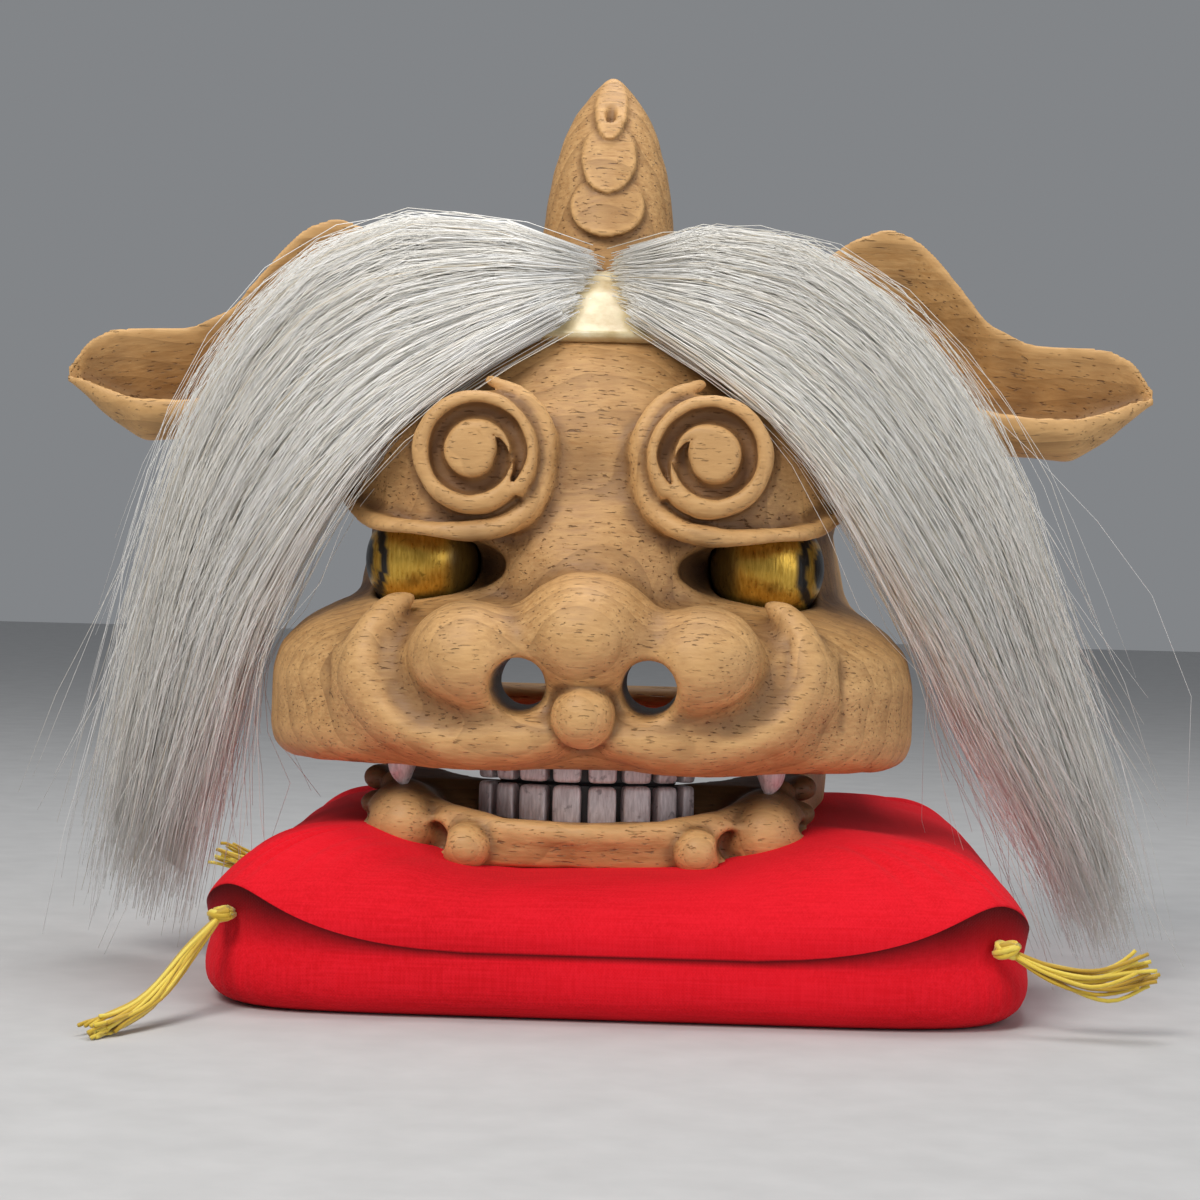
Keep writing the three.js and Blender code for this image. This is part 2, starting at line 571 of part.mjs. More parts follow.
// One lock of the mane, running along its side's table at a share between inner and outer edge
function lock(rows, side, share) {
  const path = rows.map((row) => new THREE.Vector3(
    side * THREE.MathUtils.lerp(row.innerX, row.outerX, share),
    THREE.MathUtils.lerp(row.innerY, row.outerY, share),
    THREE.MathUtils.lerp(row.innerZ, row.outerZ, share),
  ));
  const curve = new THREE.CatmullRomCurve3(path, false, 'centripetal');
  const rings = Array.from({ length: LOCKS.stations }, (_, i) => {
    const along = i / (LOCKS.stations - 1);
    const center = curve.getPoint(along);
    const tangent = curve.getTangent(along);
    const here = along * (rows.length - 1);
    const low = rows[Math.floor(here)];
    const high = rows[Math.ceil(here)];
    const gapX = THREE.MathUtils.lerp(low.outerX - low.innerX, high.outerX - high.innerX, here % 1);
    const gapZ = THREE.MathUtils.lerp(low.outerZ - low.innerZ, high.outerZ - high.innerZ, here % 1);
    const taper = along > 0.8 ? THREE.MathUtils.lerp(1, LOCKS.tip, (along - 0.8) / 0.2) : 1;
    const half = taper * Math.max(LOCKS.fill * Math.hypot(gapX, gapZ) / LOCKS.count, 3.5);
    const thick = taper * LOCKS.thickness;
    const up = new THREE.Vector3(0, -1, 0).addScaledVector(tangent, tangent.y).normalize();
    const across = tangent.clone().cross(up).normalize();
    return ellipse(center, across, up, half, thick, LOCKS.sides);
  });
  return solidOf(loft(rings));
}

// Mane: the hide strip with every lock fused to it, kept clear of the head
function mane(clear) {
  let locks = null;
  for (const [side, rows] of [[-1, MANE_LEFT], [1, MANE_RIGHT]]) {
    for (let i = 0; i < LOCKS.count; i += 1) {
      const one = lock(rows, side, (i + 0.5) / LOCKS.count);
      locks = locks ? locks.add(one) : one;
    }
  }
  return locks.subtract(clear).add(hideStrip());
}

// Height of the cushion's top at a place, before the jaw presses into it
function cushionTop(x, y) {
  const across = Math.min(Math.abs(x - CUSHION.x) / CUSHION.half, 1);
  const ahead = Math.min(Math.abs(y) / CUSHION.half, 1);
  const puff = Math.sqrt((1 - across ** 4) * (1 - ahead ** 4));
  const pressX = Math.exp(-((x / CUSHION_DENT.x) ** 4));
  const pressY = Math.exp(-(((y - CUSHION_DENT.y) / CUSHION_DENT.spread) ** 4));
  return CUSHION.rise * puff - CUSHION_DENT.depth * pressX * pressY * puff;
}

// Cushion with its seam sagging between drawn-in corners
function cushion(clear) {
  const spots = Array.from({ length: CUSHION.steps }, (_, i) => {
    const angle = (2 * Math.PI * (i + 0.5)) / CUSHION.steps;
    const power = 2 / CUSHION.square;
    const x = Math.sign(Math.cos(angle)) * Math.abs(Math.cos(angle)) ** power;
    const y = Math.sign(Math.sin(angle)) * Math.abs(Math.sin(angle)) ** power;
    const corner = (Math.abs(x) * Math.abs(y)) ** 6;
    return { x, y, corner, seam: CUSHION.seam - CUSHION.sag * (1 - corner) };
  });
  const place = (spot, scale) => [CUSHION.x + CUSHION.half * scale * spot.x, CUSHION.half * scale * spot.y];
  const seamRing = spots.map((spot) => {
    const [x, y] = place(spot, 1 - CUSHION.pinch * spot.corner);
    return new THREE.Vector3(x, y, spot.seam);
  });
  const topRings = CUSHION_TOP.map((scale) => spots.map((spot) => {
    const [x, y] = place(spot, scale);
    return new THREE.Vector3(x, y, spot.seam + cushionTop(x, y));
  }));
  const bottomRings = CUSHION_BOTTOM.map((row) => spots.map((spot) => {
    const [x, y] = place(spot, row.scale);
    return new THREE.Vector3(x, y, spot.seam * row.lift);
  }));
  return solidOf(loft([...bottomRings.toReversed(), seamRing, ...topRings])).subtract(clear);
}

// Tassel at one corner: a knot with strands fused to it
function tassel(sideX, sideY, rows) {
  const diagonal = Math.SQRT1_2 ** (2 / CUSHION.square);
  const corner = CUSHION.half * diagonal * (1 - CUSHION.pinch * diagonal ** 12);
  const reach = corner + (TASSEL.knot + GAP) * Math.SQRT1_2;
  const knot = [CUSHION.x + sideX * reach, sideY * reach, rows[0].z];
  let body = ball(knot, [TASSEL.knot, TASSEL.knot, TASSEL.knot], 8, 5);
  for (let strand = 0; strand < TASSEL.strands; strand += 1) {
    const fan = strand - (TASSEL.strands - 1) / 2;
    const path = rows.map((row, r) => ({
      x: knot[0] + sideX * (row.out + fan * TASSEL.spread * r * 0.35),
      y: knot[1] + sideY * (row.ahead - fan * TASSEL.spread * r * 0.25),
      z: row.z,
      radius: TASSEL.thread,
    }));
    body = body.add(tube(path, TASSEL.sides));
  }
  return body;
}

const clearHead = stack(HEAD_ROWS, ARC_STEPS.head, GAP);
const scrollLength = 2 * (SCROLL.rise + 1);
const clearBrows = [-1, 1].map((side) => {
  const disc = bar('y', [side * SCROLL.x, SCROLL.y, SCROLL.z], SCROLL.rim + GAP, scrollLength);
  return browPlate(side, GAP).add(disc);
});
const clearFace = clearBrows.reduce((face, brow) => face.add(brow), clearHead);
const clearJaw = jawBlock(GAP).add(jawKnob(-1, GAP)).add(jawKnob(1, GAP));
const group = new THREE.Group();
group.name = 'lion_dance_head';
group.add(pieceOf('head', head(), WOOD));
group.add(pieceOf('horn', horn(clearHead), WOOD));
group.add(pieceOf('ear_left', ear(-1, clearHead), WOOD));
group.add(pieceOf('ear_right', ear(1, clearHead), WOOD));
for (const [name, side] of [['left', -1], ['right', 1]]) {
  const eye = ball([side * EYE.x, EYE.y, EYE.z], [EYE.radius, EYE.radius, EYE.radius]);
  group.add(pieceOf(`eye_${name}`, eye, GOLD));
  group.add(pieceOf(`fang_${name}`, fang(side), SILVER));
}
group.add(pieceOf('upper_teeth', teethRow(TEETH.bite + GAP / 2, UPPER_TEETH_TOP), SILVER));
group.add(pieceOf('lower_teeth', teethRow(LOWER_TEETH_BASE, TEETH.bite - GAP / 2), SILVER));
group.add(pieceOf('lower_jaw', lowerJaw(), WOOD));
group.add(pieceOf('jaw_rod', bar('x', [0, HINGE.y, HINGE.z], HINGE.rod, 2 * HINGE.half), WOOD));
group.add(pieceOf('mane', mane(clearFace), HAIR));
group.add(pieceOf('cushion', cushion(clearJaw), RED));
group.add(pieceOf('tassel_front_left', tassel(-1, -1, TASSEL_TRAIL), FLOSS));
group.add(pieceOf('tassel_front_right', tassel(1, -1, TASSEL_STICK), FLOSS));
group.add(pieceOf('tassel_back_left', tassel(-1, 1, TASSEL_STICK), FLOSS));
group.add(pieceOf('tassel_back_right', tassel(1, 1, TASSEL_TRAIL), FLOSS));

export default group;
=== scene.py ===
"""Looks of a carved lion dance head on its cushion. Shapes are in millimetres until they become meshes."""
import math

import bpy
import numpy as np
from mathutils import Matrix, Vector, noise


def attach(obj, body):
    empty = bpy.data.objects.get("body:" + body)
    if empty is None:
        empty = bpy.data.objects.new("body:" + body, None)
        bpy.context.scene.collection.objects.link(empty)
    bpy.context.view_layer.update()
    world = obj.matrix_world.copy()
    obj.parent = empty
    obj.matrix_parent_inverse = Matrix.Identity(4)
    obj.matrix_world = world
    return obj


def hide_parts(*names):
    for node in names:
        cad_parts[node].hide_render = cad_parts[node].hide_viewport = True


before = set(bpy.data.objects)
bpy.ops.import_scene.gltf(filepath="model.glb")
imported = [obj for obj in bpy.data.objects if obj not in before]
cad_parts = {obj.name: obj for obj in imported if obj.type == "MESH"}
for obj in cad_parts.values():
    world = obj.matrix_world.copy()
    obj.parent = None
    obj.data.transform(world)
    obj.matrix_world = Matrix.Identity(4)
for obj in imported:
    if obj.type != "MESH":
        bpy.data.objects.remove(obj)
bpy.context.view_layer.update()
MM = 0.001

# Play round pieces that are let into the wood
FIT = 0.4

# Camera: where it stands round the middle of the face, and its lens
CAMERA = {
    "target": (0, 0, 100), "distance": 800, "azimuth": 2.5, "elevation": 1.0, "roll": 1.4, "lens": 87.6,
}

# Upper head and its hollow, one row for each level
STACK_NAMES = ("z", "half", "rear_half", "front", "side", "rear", "square")
HEAD_ROWS = [
    (58.6, 79, 74, -71, -25, 75, 3.2), (61, 82.5, 77, -74.5, -25, 75, 3.2), (66, 84, 78, -76, -25, 75, 3.2),
    (80, 84, 78, -76, -25, 75, 3.2), (88, 82, 77, -74, -25, 75, 3), (94, 77, 75, -69, -22, 75, 2.8),
    (98, 70, 72, -62, -18, 75, 2.6), (101, 64, 70, -58, -8, 75, 2.4), (118, 63, 66, -57, 6, 75, 2.2),
    (130, 66, 64, -59, 12, 75, 2.2), (142, 65, 61, -57, 12, 75, 2.2), (152, 61, 56, -52.5, 12, 75, 2.1),
    (162, 55.5, 50, -46.5, 12, 74, 2), (171, 48.5, 42, -39.5, 12, 71, 2), (179, 40.5, 33, -31, 12, 66, 2),
    (186, 30, 23, -20, 12, 58, 2), (191, 19, 14, -8, 12, 46, 2), (193.5, 8, 6, 3, 12, 32, 2),
]
HOLLOW_ROWS = [
    (45, 72, 69, -44, -20, 90, 3), (76, 72, 69, -44, -20, 90, 3), (88, 68, 68, -40, -16, 90, 2.8),
    (97, 50, 64, -20, 0, 90, 2.4), (121, 50, 57, -20, 8, 90, 2.2), (132, 56, 55, -44, 12, 90, 2.2),
    (150, 52, 49, -41, 12, 90, 2.1), (162, 45, 42, -33, 12, 90, 2), (172, 37, 33, -21, 12, 90, 2),
    (180, 26, 23, -6, 12, 90, 2),
]
HEAD_TOP = 194
HEAD_FOOT = 58.6

# Brows from the middle outward, and the scroll on each
BROW_NAMES = ("x", "low", "top", "front", "back")
BROW_ROWS = [
    (11, 128, 139, -58.5, -50), (14, 122, 146, -59.5, -49), (19, 118, 150, -60.5, -48),
    (31, 117, 152, -60, -46), (43, 117, 149, -57.5, -38), (53, 118, 144, -53, -16),
    (60, 121, 138, -46, -10), (66, 126, 133, -36, -10),
]
BROW_ENDS = (10, 66)
BROW_LIP = [
    (27, -55.5, 156.5, 1.2), (18, -57, 152.5, 1.8), (12, -58.5, 144, 2.2), (11.5, -59.5, 134, 2.3),
    (15, -61, 125, 2.4), (22, -62.5, 119.2, 2.5), (31, -63, 117.4, 2.6), (43, -61, 117.4, 2.6),
    (53, -56, 118.6, 2.4), (60, -48, 121.5, 2), (65, -40, 126, 1.6),
]
SCROLL = {"x": 30, "z": 137.5, "rim": 15.5, "front": -67, "groove": 2.1, "depth": 5.5,
          "spin": 3.9, "start": 12.2, "pitch": 4.3, "laps": 1.25}

# Round forms of the face: middle, and half sizes or one radius
EYE = ((45, -38, 110), 15)
EYE_CORNER = {"x": 29, "z": 109, "half": 6.5, "tall": 8}
EYE_GAZE = (0.965, -0.262)
PUPIL_ANGLE = 22
RING_ANGLE = 37
BRIDGE = ((0, -70, 92), (18.5, 22, 16))
STALK = ((0, -54, 108), (19, 9, 18))
WING = ((29, -74, 86), (15.5, 16, 14.5))
SEPTUM = ((0, -81, 72.5), 8)
BROW_DIP = ((0, -63, 135), (9, 6, 14))
EYE_SLIT = ((46, -52, 109), (24, 18, 8.5))
NOSTRIL = {"x": 16.3, "z": 80, "radius": 6.8}
RIDGE_ROWS = [
    (44, -60, 103, 1.5), (51, -65, 96.5, 4), (55.5, -68.5, 87, 5.4), (54, -70, 78, 6), (47.5, -72, 71, 6.2),
    (38, -74, 66.8, 6.2), (27, -75.5, 65, 6), (17, -77, 65.5, 5.4), (9, -78, 67, 4),
]
CHANNEL_ROWS = [
    (46.5, -78, 98, 3), (50, -79.5, 89, 4.8), (48, -81, 79.5, 5.6), (41.5, -83.5, 73, 5.6),
    (32, -85.5, 69.8, 5), (23, -87.5, 69, 3.5),
]
TEETH = {"outer": 40, "inner": 33, "front": -64, "half_angle": 0.8, "bite": 54.5, "gap": 0.045}
TOOTH_EDGES = (-1, -0.8, -0.58, -0.29, 0, 0.29, 0.58, 0.82, 1)
TEETH_TOP = 63
TEETH_BASE = 43.5
FANG_ROWS = [
    (47, -57, 62.6, 4), (47, -57, 59.5, 3.9), (47, -57.2, 56.5, 3.3), (46.5, -57.4, 54, 2),
    (46, -57.5, 52.6, 0.6),
]
HINGE = {"y": 60, "z": 70, "rod": 4, "hole": 4.5, "half": 78}

# Horn rows from crown to tip, and the tongues stepped up its front
HORN_NAMES = ("z", "half", "depth", "y")
HORN_ROWS = [
    (178, 17, 13.5, -2), (199, 18, 14.5, -1), (208, 17, 13.8, 0), (217, 15.5, 12.6, 1.5), (226, 13, 10.6, 3),
    (233, 10, 8.2, 4.6), (239, 5.8, 4.8, 6.2), (242.5, 2.2, 2, 7.2), (243.5, 0.8, 0.8, 7.5),
]
HORN_TONGUES = [(206, 10, 8.5, 2.6), (219.5, 7.4, 10, 2.4), (234, 4.4, 9.5, 2)]
HORN_TIP = 243.5
HORN_GROOVE = ((0, -5.5, 234), (1.8, 2.2, 6))

# Ear sections from root to tip
EAR_NAMES = ("x", "top", "rim_in", "rim_out", "low", "top_y", "back_y", "rim_y", "wall")
EAR_ROWS = [
    (38, 184, 171, 166, 159, 15, 22, 6, 5), (54, 190, 168, 163, 156, 15, 22, 6, 5),
    (66, 198, 164, 159, 151, 13, 23, 3, 5), (76, 201.5, 161, 156, 148, 12, 24, 0, 5),
    (85, 198.5, 159, 154, 146, 12, 24, -2, 5), (95, 188.5, 156.5, 152, 144, 12, 23, -3, 5),
    (105, 176.5, 154, 150, 142, 12, 22, -3, 5), (116, 171.5, 152.4, 148, 142, 12, 21, -3, 4.5),
    (128, 171, 152.4, 148, 141, 11, 19, -1, 4.5), (138, 170.8, 155.2, 151.4, 147, 9.5, 15.5, 2, 4),
    (145, 167.5, 158, 155.2, 153.5, 8, 11.5, 4, 2.5), (150, 160.5, 159, 158, 157.5, 6.8, 7.5, 5.8, 0.8),
]

# Lower jaw: plan outlines and levels
JAW_PLAN = (54, 68, -73, -36, 76, 2.6)
JAW_TRAY = (44, 59, -44, -20, 90, 2.6)
JAW_PROFILE = [
    (-61, 31.5), (-67, 32.2), (-71.5, 34.5), (-73, 37.5), (-72.5, 40.5), (-66, 45), (-52, 46), (-44, 53.5),
    (-36, 55.5), (44, 57), (51, 66), (52.5, 76), (60, 79.5), (67.5, 76), (69.5, 70), (66.7, 63.3), (46, 43.5),
    (26, 31.5),
]
JAW_LIP = [
    (0, -72, 42.5, 2.6), (20, -70, 43.5, 2.5), (34, -63, 46, 2.6), (44, -54, 50, 2.6), (50, -46, 53, 2.4),
]
JAW_FLOOR = 37.5
JAW_KNOB = ((29, -71, 38.5), 6)
JAW_CURL = {"x": 38, "z": 40, "radius": 4.2, "back": -62}
JAW_CHEEK = ((46, -53, 42.5), (11, 15, 11))
JAW_SCALLOPS = [(53, -52, 41), (54.5, -46, 47), (55, -38, 53)]
JAW_NOTCHES = [(56, -56, 44.5), (57.5, -50, 50.5)]

# Mane: inner edge and outer edge of each side's sweep, from the crown down
MANE_LEFT = [
    (12, -42, 174, 6, -22, 190), (40, -52, 156, 36, -24, 199), (61, -56, 136, 69, -26, 194),
    (77, -47, 114, 95, -24, 168), (91, -36, 90, 111, -20, 136), (99, -28, 64, 122, -14, 94),
    (106, -20, 42, 129, -10, 58), (114, -14, 9, 135, -6, 20),
]
MANE_RIGHT = [
    (12, -42, 174, 6, -22, 190), (39, -52, 156, 36, -24, 198), (58, -56, 138, 68, -26, 186),
    (75, -48, 112, 94, -24, 157), (91, -36, 88, 111, -20, 124), (102, -28, 66, 121, -14, 92),
    (119, -20, 42, 134, -10, 56), (134, -14, 9, 146, -6, 12),
]
HAIR = {"strands": 4200, "points": 10, "radius": 0.135, "clumps": 60, "loose": 420, "depth": 11}
HAIR_SPAN = (-30, 158)
HAIR_FLOOR = 1.2
HAIR_CLEAR = {"share": 1.05, "most": 1.6, "top": 192}
HIDE = {"low": 167, "tall": 19, "under": 0.8, "over": 2.8, "roll": 0.9}

# Cushion and tassels
CUSHION = {
    "x": 9, "half": 102.5, "square": 8, "seam": 21, "sag": 5, "rise": 27, "pinch": 0.075, "swell": 0.02,
    "steps": 240, "rings": 60, "under": 26,
}
DENT = {"y": -52, "depth": 9, "x": 46, "spread": 58}
TASSEL_TRAIL = [(0, 0, 23), (5, 14, 16), (12, 32, 6), (20, 48, 2.2)]
TASSEL_STICK = [(0, 0, 20), (11, 3, 15), (22, 4, 13.5), (33, 4, 16.5)]
TASSEL = {"knot": 3.4, "thread": 0.5, "wound": 0.75, "strands": 18, "spread": 2.0, "laps": 9}


# Grid of sample points, with views of smaller boxes inside it
class Grid:
    def __init__(self, low, high, step):
        self.step = step
        axes = [np.arange(a, b + step, step, dtype=np.float32) for a, b in zip(low, high)]
        self.set_axes(axes)

    def set_axes(self, axes):
        self.axes = axes
        self.low = np.array([axis[0] for axis in axes])
        self.x = axes[0][:, None, None]
        self.y = axes[1][None, :, None]
        self.z = axes[2][None, None, :]
        self.wide = np.abs(self.x)
        self.shape = tuple(len(axis) for axis in axes)

    def part(self, low, high):
        spans = []
        for axis, a, b in zip(self.axes, low, high):
            spans.append(slice(int(np.searchsorted(axis, a)), int(np.searchsorted(axis, b))))
        inner = object.__new__(Grid)
        inner.step = self.step
        inner.set_axes([axis[span] for axis, span in zip(self.axes, spans)])
        return tuple(spans), inner


# Smooth union and smooth cut of two fields, negative inside
def join(a, b, soft):
    share = np.clip(0.5 + 0.5 * (b - a) / soft, 0, 1)
    return b + (a - b) * share - soft * share * (1 - share)


def cross(a, b, soft):
    return -join(-a, -b, soft)


def carve(a, b, soft):
    return cross(a, -b, soft)


# Add forms to a field or cut them from it, each inside its own box only
def work(field, grid, forms):
    for make, how, soft, low, high in forms:
        span, inner = grid.part(low, high)
        field[span] = how(field[span], make(inner), soft)


def soften(line, width):
    kernel = np.hanning(2 * width + 3)[1:-1]
    return np.convolve(np.pad(line, width, mode="edge"), kernel / kernel.sum(), mode="valid")


# Columns of a table at any places between its rows
def columns(rows, names, at, width=0):
    table = np.array(rows, float)
    result = {}
    for i, name in enumerate(names[1:], 1):
        line = np.interp(at, table[:, 0], table[:, i])
        result[name] = soften(line, width) if width else line
    return result


# The same columns along one axis of a grid
def grid_columns(grid, rows, names, axis, width):
    at = np.abs(grid.axes[axis]) if axis == 0 else grid.axes[axis]
    shape = [-1 if i == axis else 1 for i in range(3)]
    row = columns(rows, names, at, width)
    return {name: line.astype(np.float32).reshape(shape) for name, line in row.items()}


def plan_field(grid, row):
    ahead = np.maximum(row["side"] - grid.y, 0)
    deep = row["side"] - row["front"]
    power = row["square"]
    rho = ((grid.wide / row["half"]) ** power + (ahead / deep) ** power) ** (1 / power)
    reach = np.sqrt(grid.wide ** 2 + ahead ** 2)
    core = -0.5 * np.minimum(row["half"], deep)
    front = np.where(rho < 0.3, core, reach - reach / np.maximum(rho, 0.3))
    share = np.clip((grid.y - row["side"]) / (row["rear"] - row["side"]), 0, 1)
    flank = grid.wide - row["half"] - (row["rear_half"] - row["half"]) * share
    field = np.where(grid.y < row["side"], front, flank)
    return np.maximum(field, grid.y - row["rear"])


def stack_field(grid, rows, width):
    return plan_field(grid, grid_columns(grid, rows, STACK_NAMES, 2, width))


# Smooth curve between the middle two of four points
def curve(p0, p1, p2, p3, share):
    return 0.5 * (2 * p1 + (p2 - p0) * share + (2 * p0 - 5 * p1 + 4 * p2 - p3) * share ** 2
                  + (3 * p1 - p0 - 3 * p2 + p3) * share ** 3)


# Points along a table's rows at any shares of its length, on a smooth curve
def along_rows(rows, places):
    table = np.array(rows, float)
    last = len(table) - 1
    at = np.clip(np.asarray(places), 0, 1) * last
    i = np.clip(np.floor(at).astype(int), 0, last - 1)
    share = (at - i)[..., None]
    p0, p1 = table[np.maximum(i - 1, 0)], table[i]
    p2, p3 = table[i + 1], table[np.minimum(i + 2, last)]
    return curve(p0, p1, p2, p3, share)


# Forms for work: each gives a function of the grid, the same on both sides of the middle
def ball(center, radii):
    if not isinstance(radii, tuple):
        radii = (radii,) * 3

    def field(grid):
        x = grid.wide - center[0]
        y = grid.y - center[1]
        z = grid.z - center[2]
        near = np.sqrt((x / radii[0]) ** 2 + (y / radii[1]) ** 2 + (z / radii[2]) ** 2)
        slope = np.sqrt((x / radii[0] ** 2) ** 2 + (y / radii[1] ** 2) ** 2 + (z / radii[2] ** 2) ** 2)
        return near * (near - 1) / np.maximum(slope, 1e-6)

    return field


# Tube through rows of x, y, z and radius; with a count, through that many points of their smooth curve
def tube(rows, count=0):
    if count:
        rows = along_rows(rows, np.linspace(0, 1, count)).tolist()

    def field(grid):
        best = None
        for a, b in zip(rows, rows[1:]):
            line = [b[i] - a[i] for i in range(3)]
            size = sum(value * value for value in line)
            dot = (grid.wide - a[0]) * line[0] + (grid.y - a[1]) * line[1] + (grid.z - a[2]) * line[2]
            share = np.clip(dot / size, 0, 1)
            away = (grid.wide - a[0] - share * line[0]) ** 2
            away = away + (grid.y - a[1] - share * line[1]) ** 2 + (grid.z - a[2] - share * line[2]) ** 2
            near = np.sqrt(away) - (a[3] + (b[3] - a[3]) * share)
            best = near if best is None else np.minimum(best, near)
        return best

    return field


# Round bore from front to back, ending at a given y
def bore(x, z, radius, back=1e9):
    return lambda grid: np.maximum(
        np.sqrt((grid.wide - x) ** 2 + (grid.z - z) ** 2) - radius, grid.y - back
    )


def hinge_hole(radius, play=0):
    return lambda grid: (
        np.sqrt((grid.y - HINGE["y"]) ** 2 + (grid.z - HINGE["z"]) ** 2) - radius - play + 0 * grid.x
    )


# Arc-shaped block that a row of teeth stands in
def teeth_socket(low, high):
    center = TEETH["front"] + TEETH["outer"]

    def field(grid):
        reach = np.sqrt(grid.x ** 2 + (grid.y - center) ** 2)
        band = np.maximum(reach - TEETH["outer"] - FIT, TEETH["inner"] - FIT - reach)
        angle = np.arctan2(grid.wide, center - grid.y)
        ends = (angle - TEETH["half_angle"]) * TEETH["outer"] - FIT
        return np.maximum(np.maximum(band, ends), np.maximum(low - grid.z, grid.z - high))

    return field


# Signed distance to a closed polygon on a plane
def polygon_field(u, v, points):
    best = np.full(np.broadcast(u, v).shape, 1e9, np.float32)
    inside = np.zeros(best.shape, bool)
    for (au, av), (bu, bv) in zip(points, np.roll(points, -1, axis=0)):
        du, dv = bu - au, bv - av
        share = np.clip(((u - au) * du + (v - av) * dv) / max(du * du + dv * dv, 1e-9), 0, 1)
        best = np.minimum(best, (u - au - share * du) ** 2 + (v - av - share * dv) ** 2)
        spans = (av > v) != (bv > v)
        if abs(dv) > 1e-9:
            inside ^= spans & (u < (v - av) / dv * du + au)
    return np.where(inside, -np.sqrt(best), np.sqrt(best))


# Surface of a field: one point in each mixed cell, one face across each mixed edge
def surface(grid, field):
    inside = field < 0
    corners = [(i, j, k) for i in (0, 1) for j in (0, 1) for k in (0, 1)]
    cells = tuple(size - 1 for size in field.shape)
    window = lambda array, c: array[c[0]:c[0] + cells[0], c[1]:c[1] + cells[1], c[2]:c[2] + cells[2]]
    count = sum(window(inside, c).astype(np.int8) for c in corners)
    active = np.argwhere((count > 0) & (count < 8))
    total = np.zeros((len(active), 3))
    hits = np.zeros(len(active))
    value = {c: field[active[:, 0] + c[0], active[:, 1] + c[1], active[:, 2] + c[2]] for c in corners}
    for a in corners:
        for axis in range(3):
            if a[axis]:
                continue
            b = tuple(1 if i == axis else a[i] for i in range(3))
            mixed = (value[a] < 0) != (value[b] < 0)
            share = np.where(mixed, value[a] / np.where(mixed, value[a] - value[b], 1), 0)
            point = np.tile(np.array(a, float), (len(active), 1))
            point[:, axis] += share
            total += point * mixed[:, None]
            hits += mixed
    points = (active + total / hits[:, None]) * grid.step + grid.low
    index = np.full(cells, -1, np.int64)
    index[active[:, 0], active[:, 1], active[:, 2]] = np.arange(len(active))
    faces = []
    for axis in range(3):
        u, v = [(1, 2), (2, 0), (0, 1)][axis]
        first = np.take(inside, range(field.shape[axis] - 1), axis)
        second = np.take(inside, range(1, field.shape[axis]), axis)
        edge = np.argwhere(first != second)
        edge = edge[(edge[:, u] > 0) & (edge[:, v] > 0) & (edge[:, u] < cells[u]) & (edge[:, v] < cells[v])]
        ring = []
        for du, dv in ((1, 1), (0, 1), (0, 0), (1, 0)):
            cell = edge.copy()
            cell[:, u] -= du
            cell[:, v] -= dv
            ring.append(index[cell[:, 0], cell[:, 1], cell[:, 2]])
        quad = np.stack(ring, 1)
        outward = first[edge[:, 0], edge[:, 1], edge[:, 2]]
        faces.append(np.where(outward[:, None], quad, quad[:, ::-1]))
    return points, [np.concatenate(faces)]


# Faces between rings of points that follow each other, and the two end caps
def ring_faces(rings, around, start=0, turned=False):
    here = np.arange(around)
    after = (here + 1) % around
    quads = []
    for r in range(rings - 1):
        a = start + r * around
        corners = [a + here, a + after, a + around + after, a + around + here]
        quads.append(np.stack([corners[0], *corners[:0:-1]] if turned else corners, 1))
    first, last = (here, here[::-1]) if turned else (here[::-1], here)
    return [np.concatenate(quads), start + first[None], start + (rings - 1) * around + last[None]]


# Make a smooth-shaded object from points in millimetres and groups of faces
def make_object(name, points, groups, material):
    faces = []
    for group in groups:
        faces.extend(np.asarray(group).tolist())
    mesh = bpy.data.meshes.new(name)
    mesh.from_pydata((np.asarray(points) * MM).tolist(), [], faces)
    mesh.polygons.foreach_set("use_smooth", np.ones(len(mesh.polygons), bool))
    mesh.materials.append(material)
    made = bpy.data.objects.new(name, mesh)
    bpy.context.scene.collection.objects.link(made)
    return made


# Replace an object's mesh by the result of a modifier
def apply_modifier(made, kind, **settings):
    modifier = made.modifiers.new(kind, kind)
    for key, value in settings.items():
        setattr(modifier, key, value)
    depsgraph = bpy.context.evaluated_depsgraph_get()
    mesh = bpy.data.meshes.new_from_object(made.evaluated_get(depsgraph))
    made.modifiers.clear()
    made.data = mesh
    mesh.polygons.foreach_set("use_smooth", np.ones(len(mesh.polygons), bool))


def thin_out(made, most):
    count = sum(len(face.vertices) - 2 for face in made.data.polygons)
    if count > most:
        apply_modifier(made, "DECIMATE", ratio=most / count)


def points_of(mesh):
    flat = np.zeros(len(mesh.vertices) * 3, np.float32)
    mesh.vertices.foreach_get("co", flat)
    return flat.reshape(-1, 3) / MM


def normals_of(mesh):
    flat = np.zeros(len(mesh.vertices) * 3, np.float32)
    mesh.vertex_normals.foreach_get("vector", flat)
    return flat.reshape(-1, 3)


def set_attribute(mesh, name, values):
    layer = mesh.attributes.get(name) or mesh.attributes.new(name, "FLOAT", "POINT")
    layer.data.foreach_set("value", np.asarray(values, np.float32))


